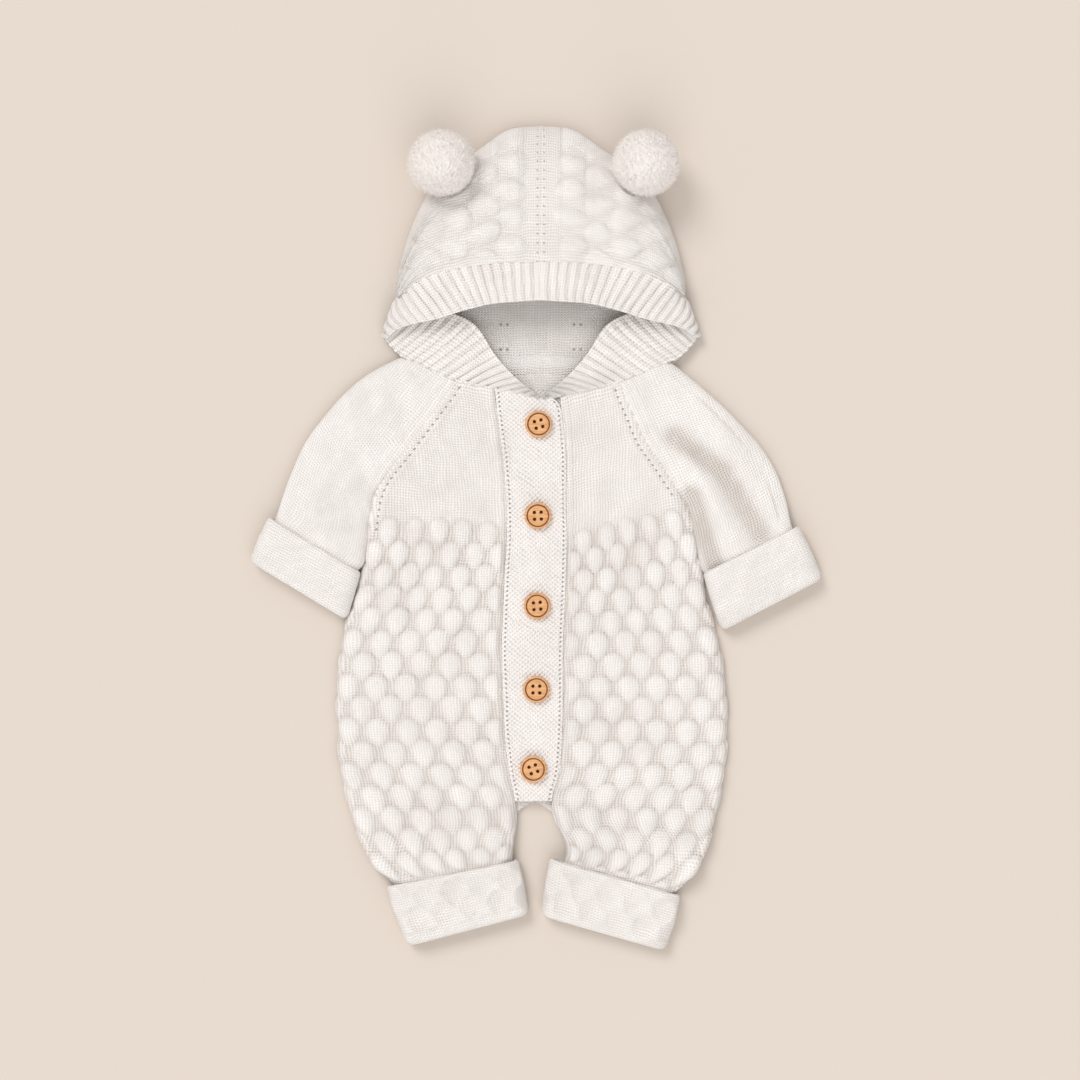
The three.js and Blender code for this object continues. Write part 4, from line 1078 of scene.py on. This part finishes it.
# Single yarn ends that stand out all round, as fine three-sided spikes
def loose_ends(name, centre):
    count = POMPOM_STRANDS
    order = np.arange(count) + 0.5
    height = 1 - 2 * order / count
    turn = order * math.pi * (3 - math.sqrt(5))
    ring = np.sqrt(1 - height**2)
    direction = np.stack([ring * np.cos(turn), ring * np.sin(turn), height], -1)
    direction = unit(direction + randoms.normal(0, 0.03, direction.shape))
    helper = np.where(np.abs(direction[:, 2:]) < 0.9, [[0.0, 0, 1]], [[1.0, 0, 0]])
    side = unit(np.cross(direction, helper))
    other = np.cross(direction, side)
    root = POMPOM_RADIUS - POMPOM_PILE - 1.0
    reach = POMPOM_RADIUS + randoms.uniform(-1.0, 0.9, count)
    lean = randoms.normal(0, 0.7, (count, 2))
    points = []
    for share, radius in ((0.0, 0.22), (0.6, 0.16), (1.0, 0.03)):
        middle = direction * (root + (reach - root) * share)[:, None]
        middle = middle + (side * lean[:, :1] + other * lean[:, 1:]) * share**1.5
        for angle in (2 * math.pi * k / 3 for k in range(3)):
            points.append(middle + radius * (side * math.cos(angle) + other * math.sin(angle)))
    ends = Cloth()
    index = ends.number(np.stack(points, 1) + np.array(centre))
    for low in (0, 3):
        for k, after in ((0, 1), (1, 2), (2, 0)):
            ends.faces.append(index[:, [low + k, low + after, low + 3 + after, low + 3 + k]])
            ends.maps.append(np.tile([[0.0, 0], [1, 0], [1, 1], [0, 1]], (count, 3)))
            ends.materials.append(np.zeros(count))
    return ends.build(name, [yarn], closed=False)


# A pompom: a packed ball of cut yarn ends, with single fine ends standing out of it
def pompom_piece(name, place):
    centre = (*place, POMPOM_LEVEL)
    bpy.ops.mesh.primitive_ico_sphere_add(subdivisions=7, radius=1.0)
    piece = bpy.context.object
    mesh = piece.data
    piece.name = mesh.name = name
    flat = np.zeros(len(mesh.vertices) * 3)
    mesh.vertices.foreach_get("co", flat)
    direction = unit(flat.reshape(-1, 3))
    radius = POMPOM_RADIUS - POMPOM_PILE + tufts(direction) * POMPOM_TUFT
    points = direction * radius[:, None] + np.array(centre) + PART_SHIFT
    mesh.vertices.foreach_set("co", (points / 1000).astype(np.float32).ravel())
    mesh.shade_smooth()
    mesh.uv_layers[0].name = "stitch"
    mesh.materials.append(yarn)
    mesh.update()
    ends = loose_ends(name + "_ends", centre)
    bpy.ops.object.select_all(action="DESELECT")
    ends.select_set(True)
    piece.select_set(True)
    bpy.context.view_layer.objects.active = piece
    bpy.ops.object.join()
    return piece


# The turned section of a button, from the middle of its underside to the middle of its face
BUTTON_SECTION = table(("radius", "height", "in_groove"), [
    (0.01, 0, 0), (7.6, 0, 0), (8.7, 0.6, 0), (9, 1.3, 0), (9, 2.6, 0), (8.8, 3.2, 0), (8.3, 3.55, 0),
    (7.7, 3.6, 0), (7.1, 3.35, 1), (6.75, 2.75, 1), (6.3, 2.7, 0), (5.9, 2.95, 0), (4.5, 2.75, 0),
    (0.01, 2.6, 0),
])


def matrix_at(place, turn=0.0):
    return Matrix.Translation(place) @ Matrix.Rotation(turn, 4, "Z")


def close_ends(mesh):
    work = bmesh.new()
    work.from_mesh(mesh)
    bmesh.ops.holes_fill(work, edges=work.edges, sides=200)
    bmesh.ops.recalc_face_normals(work, faces=work.faces)
    work.to_mesh(mesh)
    work.free()


# Adds the cut of one hole to a button that is still at the origin, and gives back its cutter
def cut_hole(body, x, y):
    bpy.ops.mesh.primitive_cylinder_add(
        vertices=24, radius=BUTTON_HOLE_RADIUS / 1000, depth=0.004, location=(x / 1000, y / 1000, 0.0027),
    )
    cutter = bpy.context.object
    cutter.data.materials.append(wood_groove)
    cut = body.modifiers.new("hole", "BOOLEAN")
    cut.operation = "DIFFERENCE"
    cut.object = cutter
    cut.material_mode = "TRANSFER"
    return cutter


# A turned wooden button: a raised rim, a dark groove inside it, and four holes
def button_piece(name, x, y, turn):
    radius, height = BUTTON_SECTION["radius"][:, None], BUTTON_SECTION["height"][:, None]
    turns = np.linspace(0, 2 * math.pi, 72, endpoint=False)
    points = np.stack(np.broadcast_arrays(radius * np.cos(turns), radius * np.sin(turns), height), -1)
    disc = Cloth()
    index = disc.number(points)
    index = np.concatenate([index, index[:, :1]], 1)
    disc.quads(index, knit_maps(np.zeros(index.shape), 0.0))
    disc.materials = [np.repeat(BUTTON_SECTION["in_groove"][1:], len(turns))]
    body = disc.build(name, [wood, wood_groove])
    body.data.transform(matrix_at(-PART_SHIFT / 1000))
    close_ends(body.data)
    sides = (-BUTTON_HOLE_SPACING, BUTTON_HOLE_SPACING)
    cutters = [cut_hole(body, hole_x, hole_y) for hole_x in sides for hole_y in sides]
    depsgraph = bpy.context.evaluated_depsgraph_get()
    mesh = bpy.data.meshes.new_from_object(body.evaluated_get(depsgraph))
    body.modifiers.clear()
    body.data = mesh
    for cutter in cutters:
        bpy.data.objects.remove(cutter)
    mesh.transform(matrix_at((np.array([x, y, BUTTON_LEVEL]) + PART_SHIFT) / 1000, math.radians(turn)))
    mesh.update()
    return body


def add(piece, node):
    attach(piece, "root")
    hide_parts(node)


# Adds a cloth piece in place of its part
def add_sheet(piece, node):
    add(piece, node)


add_sheet(back_piece(), "back")
add_sheet(front_piece("left", FRONT_LEFT, 4.0), "front_left")
add_sheet(front_piece("right", FRONT_RIGHT, 3.6), "front_right")
under = placket_piece("placket_under_cloth", 3.3, 6.0, 0.0, 0.0, 2 * PLACKET_TUCK)
add_sheet(under, "placket_under")
top = placket_piece("placket_top_cloth", 6.3, FRONT_TOP, PLACKET_SWELL, PLACKET_CORNER, PLACKET_TUCK)
add_sheet(top, "placket_top")
for name, rows in (("sleeve_left", SLEEVE_LEFT), ("sleeve_right", SLEEVE_RIGHT)):
    add_sheet(sleeve_piece(name + "_cloth", rows, 3.9), name)
for name, rows in CUFFS.items():
    on_leg = name.startswith("leg")
    add_sheet(cuff_piece(name + "_cloth", rows, on_leg), name)
for side, sign in (("left", -1), ("right", 1)):
    hood, band, pompom = "hood_" + side, "hood_band_" + side, "pompom_" + side
    add_sheet(hood_piece(hood + "_cloth", sign), hood)
    add_sheet(band_piece(band + "_cloth", sign), band)
    add(pompom_piece(pompom + "_yarn", POMPOM_PLACES[side]), pompom)
for i, (x, y, turn) in enumerate(zip(*BUTTONS.values())):
    node = f"button_{i + 1}"
    add(button_piece(node + "_wood", x, y, turn), node)


def floor_material():
    nodes = Nodes("floor")
    colour = nodes.mix(nodes.times(nodes.noise(30), 0.02), (0.685, 0.612, 0.55, 1), (0.67, 0.60, 0.54, 1))
    return nodes.finish(colour, 1.0, specular=0.0)


bpy.ops.mesh.primitive_plane_add(size=6, location=(0, 0, -0.0002))
floor = bpy.context.object
floor.name = "floor"
floor.data.materials.append(floor_material())

scene = bpy.context.scene
scene.view_settings.view_transform = "Standard"
world = bpy.data.worlds.new("studio")
world.use_nodes = True
world.node_tree.nodes["Background"].inputs[0].default_value = (1.0, 0.985, 0.96, 1)
world.node_tree.nodes["Background"].inputs[1].default_value = 0.64
scene.world = world


# A sun with a soft spread, tilted about x and y. The spread and the tilts are in degrees
def soft_sun(name, energy, spread, tilt, colour=(1, 1, 1)):
    sun = bpy.data.lights.new(name, "SUN")
    sun.energy = energy
    sun.angle = math.radians(spread)
    sun.color = colour
    light = bpy.data.objects.new(name, sun)
    light.rotation_euler = (math.radians(tilt[0]), math.radians(tilt[1]), 0)
    scene.collection.objects.link(light)


soft_sun("soft_key", 1.25, 28, (-30, -26), (1.0, 0.985, 0.965))
soft_sun("soft_fill", 0.98, 60, (42, 6))

CAMERA_HEIGHT = 2.0
FRAME_WIDTH = 0.729
camera_data = bpy.data.cameras.new("camera")
camera_data.sensor_width = 36
camera_data.lens = 36 * CAMERA_HEIGHT / FRAME_WIDTH
camera_data.clip_end = 20
camera = bpy.data.objects.new("camera", camera_data)
camera.location = (0.0027, -0.0019, CAMERA_HEIGHT)
scene.collection.objects.link(camera)
scene.camera = camera
